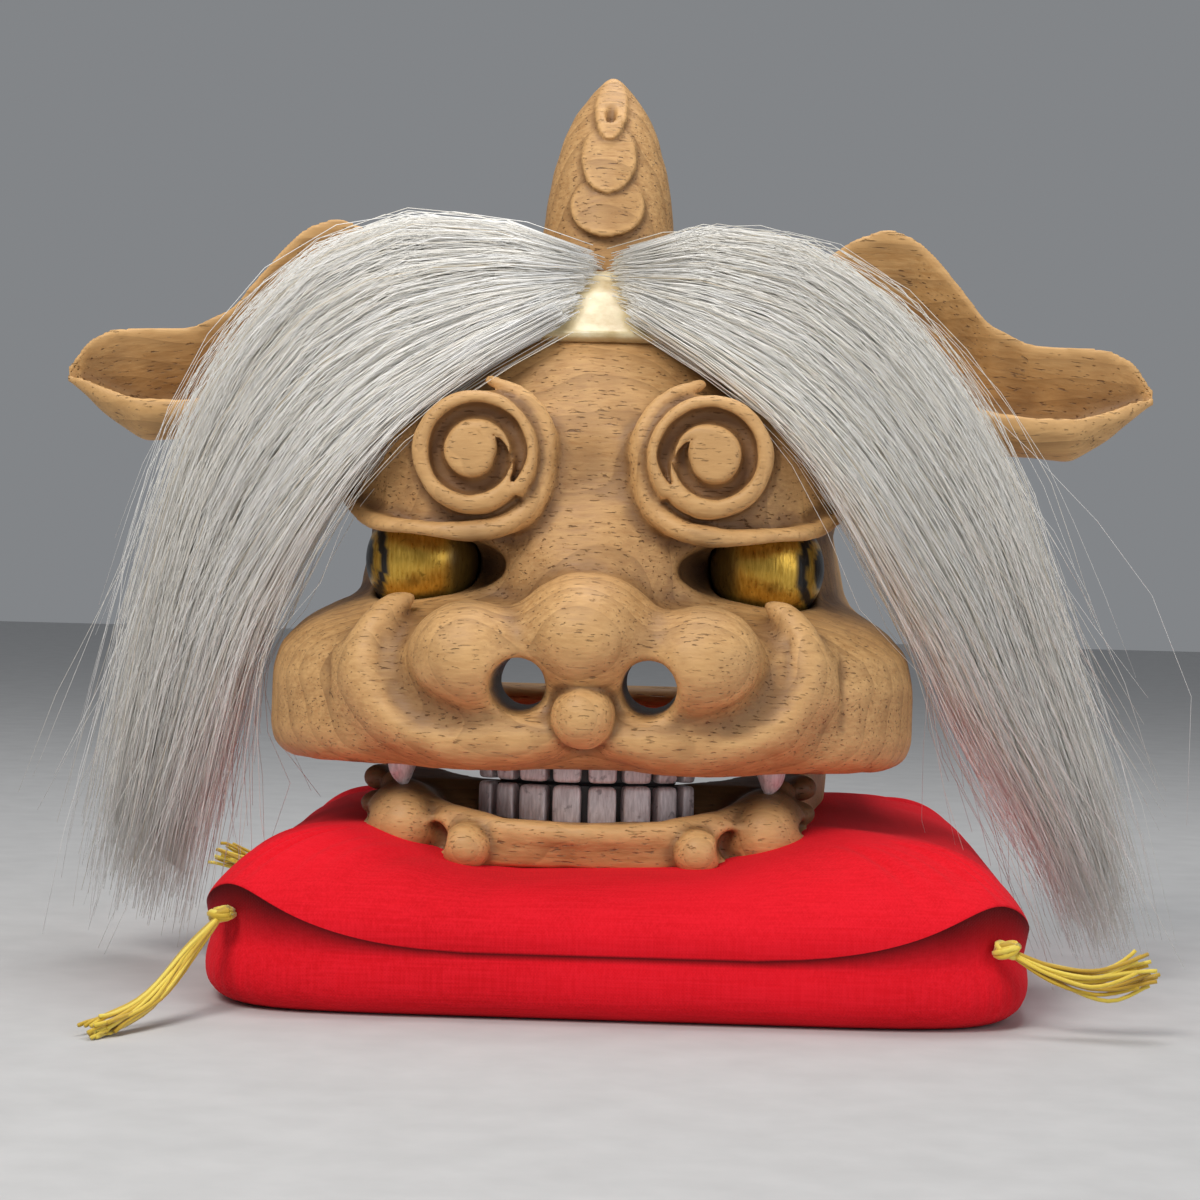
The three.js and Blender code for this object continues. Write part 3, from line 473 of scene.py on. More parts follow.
# How far each point lies below the mean of its neighbours, as a mask for darker hollows and lighter worn
# edges
def mark_hollows(mesh, rounds=10, scale=1.1):
    points = points_of(mesh)
    edges = np.zeros(len(mesh.edges) * 2, np.int64)
    mesh.edges.foreach_get("vertices", edges)
    a, b = edges.reshape(-1, 2).T
    count = np.bincount(np.concatenate([a, b]), minlength=len(points)).astype(float)

    def spread(values):
        total = np.stack([
            np.bincount(a, line[b], len(points)) + np.bincount(b, line[a], len(points)) for line in values.T
        ], 1)
        return total / np.maximum(count, 1)[:, None]

    wide = points.astype(float)
    for _ in range(rounds):
        wide = 0.5 * wide + 0.5 * spread(wide)
    hollow = np.einsum("ij,ij->i", wide - points, normals_of(mesh).astype(float))[:, None]
    for _ in range(4):
        hollow = 0.5 * hollow + 0.5 * spread(hollow)
    set_attribute(mesh, "hollow", np.clip(0.5 + scale * hollow[:, 0], 0, 1))


# Tool marks: small smooth unevenness along the normals
def roughen(mesh, size, amount, seed):
    points = points_of(mesh)
    shift = np.array([noise.noise(Vector((p / size + seed).tolist())) for p in points])
    points = points + normals_of(mesh) * (shift * amount)[:, None]
    mesh.vertices.foreach_set("co", (points * MM).astype(np.float32).ravel())
    mesh.update()


# Set a node's inputs: another node's output is linked, a plain value is set
def set_inputs(tree, node, values):
    for key, value in values.items():
        if isinstance(value, bpy.types.NodeSocket):
            tree.links.new(value, node.inputs[key])
        else:
            node.inputs[key].default_value = value


# Add a node; its inputs are given by name, or as i with a number
def add_node(tree, kind, settings=None, **inputs):
    node = tree.nodes.new(kind)
    for key, value in (settings or {}).items():
        setattr(node, key, value)
    set_inputs(tree, node, {int(key[1:]) if key[1:].isdigit() else key: inputs[key] for key in inputs})
    return node


def blank_material(name):
    material = bpy.data.materials.new(name)
    material.use_nodes = True
    tree = material.node_tree
    return material, tree, tree.nodes["Principled BSDF"]


def object_place(tree):
    return add_node(tree, "ShaderNodeTexCoord").outputs["Object"]


def attribute(tree, name):
    return add_node(tree, "ShaderNodeAttribute", {"attribute_name": name}).outputs["Fac"]


# Colours along a value, where a single number is a grey
def ramp(tree, value, stops):
    node = add_node(tree, "ShaderNodeValToRGB", i0=value)
    while len(node.color_ramp.elements) < len(stops):
        node.color_ramp.elements.new(0.5)
    for element, (spot, color) in zip(node.color_ramp.elements, stops):
        element.position = spot
        element.color = (*color, 1) if isinstance(color, tuple) else (color, color, color, 1)
    return node.outputs[0]


def blend(tree, share, a, b):
    node = add_node(tree, "ShaderNodeMix", {"data_type": "RGBA"}, i0=share)
    for slot, value in ((6, a), (7, b)):
        plain = isinstance(value, tuple)
        set_inputs(tree, node, {slot: (*value, 1) if plain else value})
    return node.outputs[2]


def math_node(tree, how, a, b=0.0):
    return add_node(tree, "ShaderNodeMath", {"operation": how}, i0=a, i1=b).outputs[0]


def times(tree, a, b):
    return math_node(tree, "MULTIPLY", a, b)


def noise_node(tree, place, scale, detail=3.0, rough=0.55):
    node = add_node(tree, "ShaderNodeTexNoise", Vector=place, Scale=scale, Detail=detail, Roughness=rough)
    return node.outputs[0]


def stretch(tree, place, scale):
    node = add_node(tree, "ShaderNodeMapping", Vector=place)
    node.inputs["Scale"].default_value = scale
    return node.outputs[0]


def scaled(values, amount):
    return tuple(value * amount for value in values)


def add_bump(tree, shader, height, strength, distance):
    bump = add_node(tree, "ShaderNodeBump", Height=height, Strength=strength, Distance=distance)
    tree.links.new(bump.outputs[0], shader.inputs["Normal"])


# Bare wood: year rings across the depth, fibres, pores, darker colour where the carving is hollow, and
# near-black painted shade from a per-point mask
PORE_COLOR = (0.12, 0.05, 0.018)
HOLLOW_DARK_COLOR = (0.13, 0.055, 0.02)
# Near-black colour for painted shade on the wood
PAINTED_SHADE_COLOR = (0.03, 0.012, 0.005)


def wood_material(name, light, dark, ring_axis, fibre, ring_scale):
    material, tree, shader = blank_material(name)
    place = object_place(tree)
    axis = add_node(tree, "ShaderNodeSeparateXYZ", Vector=place).outputs[ring_axis]
    bend = times(tree, noise_node(tree, place, 14.0, 2.0), 0.022)
    ring = math_node(tree, "FRACT", times(tree, math_node(tree, "ADD", axis, bend), ring_scale))
    late = ramp(tree, ring, [(0.0, 0), (0.6, 0.18), (0.9, 0.75), (0.97, 1), (1.0, 0)])
    streaks = noise_node(tree, stretch(tree, place, fibre), 1.0, 4.0, 0.6)
    base = blend(tree, ramp(tree, streaks, [(0.3, 0), (0.7, 1)]), dark, light)
    ringed = blend(tree, times(tree, late, 0.6), base, scaled(dark, 0.62))
    patches = ramp(tree, noise_node(tree, place, 30.0, 3.0), [(0.42, 0), (0.72, 0.55)])
    patchy = blend(tree, patches, ringed, scaled(dark, 0.8))
    pore_noise = noise_node(tree, stretch(tree, place, scaled(fibre, 1.7)), 1.0, 2.0)
    pores = ramp(tree, pore_noise, [(0.29, 1), (0.37, 0)])
    pored = blend(tree, times(tree, pores, 0.75), patchy, PORE_COLOR)
    hollow = attribute(tree, "hollow")
    # Darker colour where the surface is hollow
    hollow_darkening = ramp(tree, hollow, [(0.5, 0), (0.62, 0.6), (0.85, 1)])
    hollows_darkened = blend(tree, times(tree, hollow_darkening, 0.75), pored, HOLLOW_DARK_COLOR)
    worn = ramp(tree, hollow, [(0.3, 1), (0.47, 0)])
    shown = blend(tree, times(tree, worn, 0.35), hollows_darkened, scaled(light, 1.3))
    set_inputs(tree, shader, {
        # Near-black blend here is painted shade on the wood: eye corners and sockets, inside the nostrils and
        # inside the mouth
        "Base Color": blend(tree, attribute(tree, "ink_and_painted_shade"), shown, PAINTED_SHADE_COLOR),
        "Roughness": ramp(tree, streaks, [(0.3, 0.48), (0.7, 0.64)]),
    })
    height = math_node(tree, "SUBTRACT", times(tree, streaks, 0.25), pores)
    add_bump(tree, shader, height, 0.7, 0.0009)
    return material


# Brushed metallic paint over wood
INK_AND_SHADE_COLOR = (0.006, 0.005, 0.005)


def paint_material(name, light, dark, metallic, rough):
    material, tree, shader = blank_material(name)
    place = object_place(tree)
    strokes = noise_node(tree, stretch(tree, place, (1500, 900, 260)), 1.0, 3.0)
    color = blend(tree, ramp(tree, strokes, [(0.3, 0), (0.7, 1)]), dark, light)
    worn = ramp(tree, noise_node(tree, place, 420.0, 4.0), [(0.3, 0.8), (0.4, 0)])
    shown = blend(tree, worn, color, scaled(dark, 0.55))
    # The dark mark on paint is black ink on the eyes and between the teeth, and painted shade on the eyes'
    # inner sides and behind the upper teeth
    ink_and_shade = attribute(tree, "ink_and_painted_shade")
    set_inputs(tree, shader, {
        "Base Color": blend(tree, ink_and_shade, shown, INK_AND_SHADE_COLOR),
        "Metallic": times(tree, math_node(tree, "SUBTRACT", 1.0, ink_and_shade), metallic),
        "Roughness": ramp(tree, strokes, [(0.2, rough), (0.8, rough + 0.18)]),
    })
    add_bump(tree, shader, strokes, 0.35, 0.0004)
    return material


# Hair: each strand has its own tint and a soft shine
HAIR_TINTS = [
    (0.0, (0.68, 0.57, 0.4)), (0.22, (0.88, 0.82, 0.71)),
    (0.55, (0.96, 0.94, 0.89)), (1.0, (0.98, 0.975, 0.96)),
]


def hair_material():
    material, tree, shader = blank_material("horsehair_strands")
    color = ramp(tree, attribute(tree, "tint"), HAIR_TINTS)
    set_inputs(tree, shader, {"Base Color": color, "Roughness": 0.36})
    return material


# Hair under the loose strands, with streaks along the locks
LOCK_TINTS = [
    (0.28, (0.6, 0.54, 0.45)), (0.42, (0.82, 0.78, 0.7)),
    (0.55, (0.93, 0.91, 0.86)), (0.75, (0.97, 0.96, 0.94)),
]


def lock_material():
    material, tree, shader = blank_material("horsehair_locks")
    across = times(tree, attribute(tree, "across"), 210.0)
    along = times(tree, attribute(tree, "along"), 3.0)
    place = add_node(tree, "ShaderNodeCombineXYZ", X=across, Y=along).outputs[0]
    streaks = noise_node(tree, place, 1.0, 4.0, 0.7)
    set_inputs(tree, shader, {"Base Color": ramp(tree, streaks, LOCK_TINTS), "Roughness": 0.5})
    add_bump(tree, shader, streaks, 0.9, 0.0012)
    return material


HIDE_TINTS = [(0.3, (0.5, 0.36, 0.16)), (0.55, (0.72, 0.6, 0.36)), (0.75, (0.82, 0.74, 0.54))]


def hide_material():
    material, tree, shader = blank_material("rawhide")
    mottle = noise_node(tree, object_place(tree), 160.0, 5.0)
    set_inputs(tree, shader, {"Base Color": ramp(tree, mottle, HIDE_TINTS), "Roughness": 0.3})
    add_bump(tree, shader, mottle, 0.3, 0.0006)
    return material


# Plain weave cotton: two crossing sets of threads, slubs and faint fade
THREAD_PITCH = 0.00085
FADED_RED = (0.66, 0.003, 0.01)
FULL_RED = (0.8, 0.005, 0.016)
SLUB_RED = (0.88, 0.012, 0.028)
# Near-black red for painted shade along the seam crease
SEAM_SHADE_RED = (0.1, 0.0005, 0.002)


def cotton_material():
    material, tree, shader = blank_material("red_cotton_weave")
    place = object_place(tree)
    waves = []
    for axis in add_node(tree, "ShaderNodeSeparateXYZ", Vector=place).outputs:
        waves.append(math_node(tree, "SINE", times(tree, axis, 2 * math.pi / THREAD_PITCH)))
    weave = math_node(tree, "ADD", times(tree, waves[0], waves[1]), times(tree, waves[0], waves[2]))
    slubs_across = noise_node(tree, stretch(tree, place, (60, 1600, 1600)), 1.0, 2.0)
    slubs_along = noise_node(tree, stretch(tree, place, (1600, 1600, 60)), 1.0, 2.0)
    slubs = math_node(tree, "ADD", slubs_across, slubs_along)
    fade = ramp(tree, noise_node(tree, place, 22.0, 2.0), [(0.35, 0), (0.7, 1)])
    tone = blend(tree, fade, FADED_RED, FULL_RED)
    thick = ramp(tree, times(tree, slubs, 0.5), [(0.4, 0), (0.6, 0.5)])
    threads = blend(tree, thick, tone, SLUB_RED)
    set_inputs(tree, shader, {
        "Base Color": blend(tree, attribute(tree, "crease"), threads, SEAM_SHADE_RED),
        "Roughness": 0.9, "Specular IOR Level": 0.2, "Sheen Weight": 0.06, "Sheen Roughness": 0.5,
        "Sheen Tint": (1.0, 0.25, 0.3, 1),
    })
    add_bump(tree, shader, math_node(tree, "ADD", times(tree, weave, 0.3), slubs), 0.35, 0.0003)
    return material


FLOSS_TINTS = [(0.0, (0.5, 0.3, 0.015)), (0.5, (0.72, 0.5, 0.03)), (1.0, (0.86, 0.68, 0.1))]


def floss_material():
    material, tree, shader = blank_material("yellow_floss_thread")
    color = ramp(tree, attribute(tree, "tint"), FLOSS_TINTS)
    set_inputs(tree, shader, {"Base Color": color, "Roughness": 0.6, "Sheen Weight": 0.3})
    add_bump(tree, shader, noise_node(tree, object_place(tree), 1400.0, 2.0), 0.4, 0.0003)
    return material


LIGHT_WOOD = (0.68, 0.405, 0.165)
DARK_WOOD = (0.46, 0.235, 0.08)
WOOD = wood_material("carved_wood", LIGHT_WOOD, DARK_WOOD, 1, (160, 1000, 1000), 210.0)
EAR_WOOD = wood_material("ear_wood", (0.7, 0.42, 0.17), (0.5, 0.265, 0.09), 2, (60, 1100, 700), 160.0)
GOLD = paint_material("gold_leaf_paint", (0.78, 0.5, 0.09), (0.52, 0.29, 0.035), 0.85, 0.24)
# The pink cast of the silver paint is a painted reflection of the red cushion
SILVER_WITH_PAINTED_RED_REFLECTION = paint_material("silver_paint_with_painted_red_reflection", (0.86, 0.77, 0.78), (0.55, 0.46, 0.47), 0.4, 0.4)
HAIR_MATERIAL = hair_material()
LOCK_MATERIAL = lock_material()
HIDE_MATERIAL = hide_material()
COTTON = cotton_material()
FLOSS = floss_material()


def brow_field(grid):
    row = grid_columns(grid, BROW_ROWS, BROW_NAMES, 0, 0)
    upright = cross(row["low"] - grid.z, grid.z - row["top"], 5.0)
    plate = cross(upright, row["front"] - grid.y, 5.0)
    ends = np.maximum(grid.wide - BROW_ENDS[1], BROW_ENDS[0] - grid.wide)
    return np.maximum(plate, np.maximum(ends, grid.y - row["back"]))


def scroll_parts(grid):
    across = grid.wide - SCROLL["x"]
    up = grid.z - SCROLL["z"]
    reach = np.sqrt(across ** 2 + up ** 2)
    turn = np.mod(SCROLL["spin"] - np.arctan2(up, across), 2 * np.pi) / (2 * np.pi)
    return reach + 0 * grid.y, turn + 0 * grid.y


def scroll_disc(grid):
    reach, turn = scroll_parts(grid)
    rim = SCROLL["rim"] + 0.8 - 1.2 * turn
    return cross(reach - rim, SCROLL["front"] - grid.y, 3.0)


def scroll_groove(grid):
    reach, turn = scroll_parts(grid)
    floor = SCROLL["front"] + SCROLL["depth"]
    best = None
    for lap in (0, 1):
        wound = turn + lap
        middle = SCROLL["start"] - SCROLL["pitch"] * wound
        ends = np.clip(np.minimum(8 * wound, 6 * (SCROLL["laps"] - wound)), -1, 1)
        cut = np.abs(reach - middle) - SCROLL["groove"] * ends
        best = cut if best is None else np.minimum(best, cut)
    return cross(best, grid.y - floor, 2.5)


# Forms worked on the head before and after it is hollowed, and on the jaw: each with its softness and box
SCROLL_BOX = ((-50, -72, 118), (50, -45, 157))
NOSE_BOX = ((-64, -98, 58), (64, -56, 110))
HEAD_FORMS = [
    (brow_field, join, 3.0, (-72, -80, 108), (72, 0, 162)),
    (scroll_disc, join, 1.6, *SCROLL_BOX),
    (scroll_groove, carve, 1.4, *SCROLL_BOX),
    (tube(BROW_LIP, 28), join, 3.5, (-70, -74, 108), (70, -36, 162)),
    (ball(*BROW_DIP), carve, 5.0, (-18, -76, 114), (18, -50, 156)),
    (ball(*BRIDGE), join, 8.0, (-34, -98, 70), (34, -40, 124)),
    (ball(*STALK), join, 7.0, (-34, -80, 84), (34, -30, 134)),
    (ball(*WING), join, 9.0, (-50, -96, 66), (50, -50, 106)),
    (tube(RIDGE_ROWS, 24), join, 8.0, *NOSE_BOX),
    (tube(CHANNEL_ROWS, 20), carve, 2.0, *NOSE_BOX),
    (ball(*SEPTUM), join, 1.2, (-14, -96, 58), (14, -64, 86)),
]
HEAD_CUTS = [
    (ball(*EYE_SLIT), carve, 2.5, (-72, -80, 96), (72, -20, 120)),
    (ball(EYE[0], EYE[1] + FIT), carve, 0.8, (-64, -58, 92), (64, -18, 128)),
    (bore(**NOSTRIL), carve, 2.0, (-26, -110, 70), (26, 0, 90)),
    (hinge_hole(HINGE["hole"]), carve, 0.8, (-90, 50, 60), (90, 70, 80)),
    (teeth_socket(TEETH["bite"], TEETH_TOP + FIT), carve, 0.6, (-40, -70, 50), (40, -30, 68)),
    (tube([(*row[:3], row[3] + FIT) for row in FANG_ROWS]), carve, 0.6, (-56, -66, 48), (56, -48, 70)),
]
JAW_FORMS = [
    (tube(JAW_LIP), join, 4.0, (-58, -80, 34), (58, -40, 62)),
    (ball(*JAW_KNOB), join, 1.5, (-38, -80, 29), (38, -60, 48)),
    (bore(**JAW_CURL), carve, 1.5, (-46, -80, 30), (46, -55, 50)),
    (ball(*JAW_CHEEK), join, 2.0, (-62, -72, 30), (62, -34, 56)),
    *[(ball(spot, (4.2, 5, 3.4)), join, 1.0, (-62, -62, 34), (62, -28, 60)) for spot in JAW_SCALLOPS],
    *[(ball(spot, (3, 6, 1.8)), carve, 0.8, (-64, -66, 36), (64, -38, 58)) for spot in JAW_NOTCHES],
    (teeth_socket(TEETH_BASE - FIT, TEETH["bite"]), carve, 0.6, (-40, -70, 40), (40, -30, 58)),
    (hinge_hole(HINGE["rod"], 0.3), carve, 0.5, (-82, 52, 62), (82, 68, 78)),
]


# Outside of the head without its face, which the ears and the horn also stop at
def crown_field(grid):
    return cross(stack_field(grid, HEAD_ROWS, 3), grid.z - HEAD_TOP, 4.0)


# Carved piece: its mesh thinned, with tool marks (size, height, seed) and marked hollows
def carved(name, points, groups, material, most, *marks):
    made = make_object(name, points, groups, material)
    thin_out(made, most)
    for size, amount, seed in marks:
        roughen(made.data, size, amount, seed)
    mark_hollows(made.data)
    set_attribute(made.data, "ink_and_painted_shade", np.zeros(len(made.data.vertices)))
    return made


def make_head():
    grid = Grid((-90, -98, 55), (90, 80, 198), 1.0)
    field = cross(crown_field(grid), HEAD_FOOT - grid.z, 3.0)
    work(field, grid, HEAD_FORMS)
    hollow = np.maximum(stack_field(grid, HOLLOW_ROWS, 4), grid.z - HOLLOW_ROWS[-1][0])
    field = carve(field, hollow, 3.0)
    work(field, grid, HEAD_CUTS)
    made = carved("head_carved", *surface(grid, field), WOOD, 192000, (9.0, 0.35, 3.0), (3.2, 0.12, 8.0))
    x, y, z = points_of(made.data).T
    wide = np.abs(x)
    # Painted shade: the inner eye corners, the wood round each eye ball, the inside of the nostrils and the
    # inside of the mouth are darkened almost to black
    across, up = (wide - EYE_CORNER["x"]) / EYE_CORNER["half"], (z - EYE_CORNER["z"]) / EYE_CORNER["tall"]
    corner = np.exp(-(across ** 2 + up ** 2)) * (y < -36)
    ball_reach = np.linalg.norm(np.stack([wide, y, z], 1) - np.array(EYE[0]), axis=1)
    socket = np.clip((EYE[1] + 2.4 - ball_reach) / 2, 0, 1)
    inside = np.hypot(wide - NOSTRIL["x"], z - NOSTRIL["z"]) < NOSTRIL["radius"] + 1
    nostril = inside * np.clip((y + 84) / 14, 0, 1) * (y < -30)
    mouth = np.clip((60.5 - z) / 2, 0, 1) * (y > -66) * (wide < 60) * (y < -30)
    dark = np.maximum.reduce([0.9 * corner, 0.95 * socket, 0.8 * nostril, 0.6 * mouth])
    set_attribute(made.data, "ink_and_painted_shade", np.clip(dark, 0, 1))
    return made


def make_jaw():
    grid = Grid((-82, -80, 29), (82, 80, 83), 0.9)
    plan = plan_field(grid, dict(zip(STACK_NAMES[1:], JAW_PLAN)))
    profile = polygon_field(grid.axes[1][:, None], grid.axes[2][None, :], np.array(JAW_PROFILE))[None]
    field = cross(np.broadcast_to(plan, grid.shape), profile, 2.5)
    tray = np.maximum(plan_field(grid, dict(zip(STACK_NAMES[1:], JAW_TRAY))), JAW_FLOOR - grid.z)
    field = carve(field, np.broadcast_to(tray, grid.shape), 2.0)
    work(field, grid, JAW_FORMS)
    made = carved("lower_jaw_carved", *surface(grid, field), WOOD, 80000, (7.0, 0.3, 5.0))
    x, y, z = points_of(made.data).T
    # Painted shade: the inside of the jaw behind its lip is darkened
    behind = np.clip((y + 66) / 6, 0, 1) * np.clip((z - 42) / 3, 0, 1) * (y < -20)
    set_attribute(made.data, "ink_and_painted_shade", 0.75 * behind)
    return made


# Closed smooth section of an ear, as points in depth and height
def ear_section(row):
    mix = lambda a, b, share: a + (b - a) * share
    back = mix(row["top"], row["low"], 0.5)
    floor = row["low"] + row["wall"]
    return [
        (row["top_y"], row["top"]), (row["back_y"], back),
        (mix(row["back_y"], row["rim_y"], 0.25), mix(row["low"], back, 0.2)),
        (mix(row["back_y"], row["rim_y"], 0.65), row["low"]), (row["rim_y"], row["rim_out"]),
        (row["rim_y"] + 0.15 * row["wall"], row["rim_in"]),
        (mix(row["back_y"], row["rim_y"], 0.6) - 0.2 * row["wall"], mix(floor, row["rim_in"], 0.25)),
        (row["back_y"] - row["wall"], mix(floor, back, 0.45)), (row["back_y"] - 0.9 * row["wall"], back),
        (row["top_y"] - 0.5 * row["wall"], row["top"] - 0.3),
    ]


def round_loop(points, steps):
    points = np.array(points)
    before, after, beyond = np.roll(points, 1, 0), np.roll(points, -1, 0), np.roll(points, -2, 0)
    spots = []
    for share in np.arange(steps) / steps:
        spots.append(curve(before, points, after, beyond, share))
    return np.stack(spots, 1).reshape(-1, 2)


def make_ear(name, side):
    grid = Grid((36, -8, 137), (152, 30, 205), 0.8)
    row = columns(EAR_ROWS, EAR_NAMES, grid.axes[0], 4)
    field = np.zeros(grid.shape, np.float32)
    for i in range(grid.shape[0]):
        loop = round_loop(ear_section({key: line[i] for key, line in row.items()}), 3)
        field[i] = polygon_field(grid.axes[1][:, None], grid.axes[2][None, :], loop)
    field = np.maximum(field, np.maximum(grid.x - 150, 37 - grid.x))
    field = np.maximum(field, FIT - crown_field(grid))
    points, (faces,) = surface(grid, field)
    points[:, 0] *= side
    return carved(name, points, [faces[:, ::side]], EAR_WOOD, 26000, (8.0, 0.3, 2.0 + side))


def make_horn():
    grid = Grid((-22, -22, 176), (22, 20, 246), 0.7)
    row = grid_columns(grid, HORN_ROWS, HORN_NAMES, 2, 3)
    across, ahead = grid.x / row["half"], (grid.y - row["y"]) / row["depth"]
    body = (np.sqrt(across ** 2 + ahead ** 2) - 1) * np.minimum(row["half"], row["depth"])
    body = cross(body, grid.z - HORN_TIP, 2.0)
    field = body
    for z, half, tall, rise in HORN_TONGUES:
        share = np.clip((grid.z - z) / tall, -1, 1)
        width = half * np.sqrt(np.maximum(1 - np.clip(share, -1, 0.98) ** 2, 0.02))
        shell = body - rise * (0.62 - 0.55 * share)
        ends = np.maximum(np.abs(grid.z - z) - tall, grid.y - row["y"])
        field = join(field, np.maximum(np.maximum(grid.wide - width, shell), ends), 0.9)
    work(field, grid, [(ball(*HORN_GROOVE), carve, 0.8, (-4, -12, 225), (4, 0, 244))])
    field = np.maximum(field, FIT - crown_field(grid))
    return carved("horn_carved", *surface(grid, field), WOOD, math.inf, (6.0, 0.25, 4.0))


# Ball with the pupil and ring painted black, and its inner side towards the nose darkened as painted shade
def make_eye(name, side):
    steps, rings = 64, 40
    points = []
    for r in range(rings + 1):
        down = math.pi * r / rings
        for i in range(steps):
            turn = 2 * math.pi * i / steps
            points.append((math.sin(down) * math.cos(turn), math.sin(down) * math.sin(turn), math.cos(down)))
    gaze = np.array([side * EYE_GAZE[0], EYE_GAZE[1], 0.0])
    center = np.array([side * EYE[0][0], *EYE[0][1:]])
    radius = EYE[1] - 0.2
    groups = ring_faces(rings + 1, steps, 0, True)[:1]
    made = make_object(name, center + np.array(points) * radius, groups, GOLD)
    apply_modifier(made, "WELD", merge_threshold=1e-6)
    kept = (points_of(made.data) - center) / radius
    angle = np.degrees(np.arccos(np.clip(kept @ gaze, -1, 1)))
    wobble = 1.2 * np.sin(kept[:, 2] * 9 + side)
    pupil = np.clip((PUPIL_ANGLE - angle + wobble) / 1.2, 0, 1)
    ring = np.clip((7 - np.abs(angle - RING_ANGLE + wobble)) / 1.2, 0, 1)
    # Painted shade on the inner side of the ball, towards the nose
    edge = np.clip((-kept[:, 0] * side - 0.45) / 0.2, 0, 1) * 0.8
    set_attribute(made.data, "ink_and_painted_shade", np.maximum.reduce([pupil, ring, edge]))
    return made


# Row of teeth with rounded edges, on a dark arc between them
def make_teeth(name, low, high, seed, shade):
    draw = np.random.default_rng(seed)
    center = TEETH["front"] + TEETH["outer"]
    points, groups, ink_and_shade = [], [], []

    def bulge(value, power):
        return math.copysign(abs(value) ** (2 / power), value)

    def block(start, end, near, far, bottom, top, dark, power):
        around, tall = 28, 12
        groups.extend(ring_faces(tall + 1, around, len(points)))
        for r in range(tall + 1):
            rise = bulge(math.sin((r / tall - 0.5) * math.pi), power)
            inset = max(max(1 - abs(rise) ** power, 0) ** (1 / power), 0.02)
            for i in range(around):
                turn = 2 * math.pi * i / around
                u = bulge(math.cos(turn), power) * inset
                v = bulge(math.sin(turn), power) * inset
                angle = (start + end) / 2 + u * (end - start) / 2
                reach = (near + far) / 2 + v * (far - near) / 2
                z = (bottom + top) / 2 + rise * (top - bottom) / 2
                points.append((reach * math.sin(angle), center - reach * math.cos(angle), z))
                ink_and_shade.append(dark)

    edges = np.array(TOOTH_EDGES) * TEETH["half_angle"]
    for begin, finish in zip(edges, edges[1:]):
        start, end = begin + TEETH["gap"] / 2, finish - TEETH["gap"] / 2
        uneven = draw.uniform(-0.35, 0.35, 3)
        outer = TEETH["outer"] - 0.2 + 0.2 * uneven[0]
        block(start, end, TEETH["inner"] + 2, outer, low, high - 0.2 - abs(uneven[1]), 0.0, 7)
    wide = TEETH["half_angle"]
    block(-wide, wide, TEETH["inner"], TEETH["outer"] - 3, low, high - 0.5, 0.95, 9)
    # For the upper row, a dark arc behind the teeth stands for the dim inside of the mouth: painted shade
    if shade:
        block(-wide, wide, TEETH["inner"] - 3, TEETH["inner"] - 0.6, low - 2, high, 0.95, 9)
    made = make_object(name, points, groups, SILVER_WITH_PAINTED_RED_REFLECTION)
    set_attribute(made.data, "ink_and_painted_shade", ink_and_shade)
    return made


# Tubes through lists of points, all in one mesh
def tubes(name, paths, radii, tints, material, sides=3):
    count = paths.shape[1]
    ahead = np.gradient(paths, axis=1)
    ahead /= np.maximum(np.linalg.norm(ahead, axis=2, keepdims=True), 1e-6)
    helper = np.where(np.abs(ahead[..., 1:2]) > 0.9, [1.0, 0, 0], [0, 1.0, 0])
    across = np.cross(helper, ahead)
    across /= np.linalg.norm(across, axis=2, keepdims=True)
    up = np.cross(ahead, across)
    rings = []
    for i in range(sides):
        turn = 2 * math.pi * i / sides
        rings.append(paths + radii[..., None] * (across * math.cos(turn) + up * math.sin(turn)))
    points = np.stack(rings, 2).reshape(-1, 3)
    strand = np.arange(len(paths))[:, None, None] * count * sides
    along = np.arange(count - 1)[None, :, None] * sides
    here = np.arange(sides)[None, None, :]
    after = (here + 1) % sides
    base = strand + along
    corners = [base + here, base + after, base + sides + after, base + sides + here]
    quads = np.stack(corners, -1).reshape(-1, 4)
    first = strand[:, 0] + np.arange(sides)[::-1]
    last = strand[:, 0] + (count - 1) * sides + np.arange(sides)
    made = make_object(name, points, [quads, first, last], material)
    set_attribute(made.data, "tint", np.repeat(tints, count * sides))
    return made


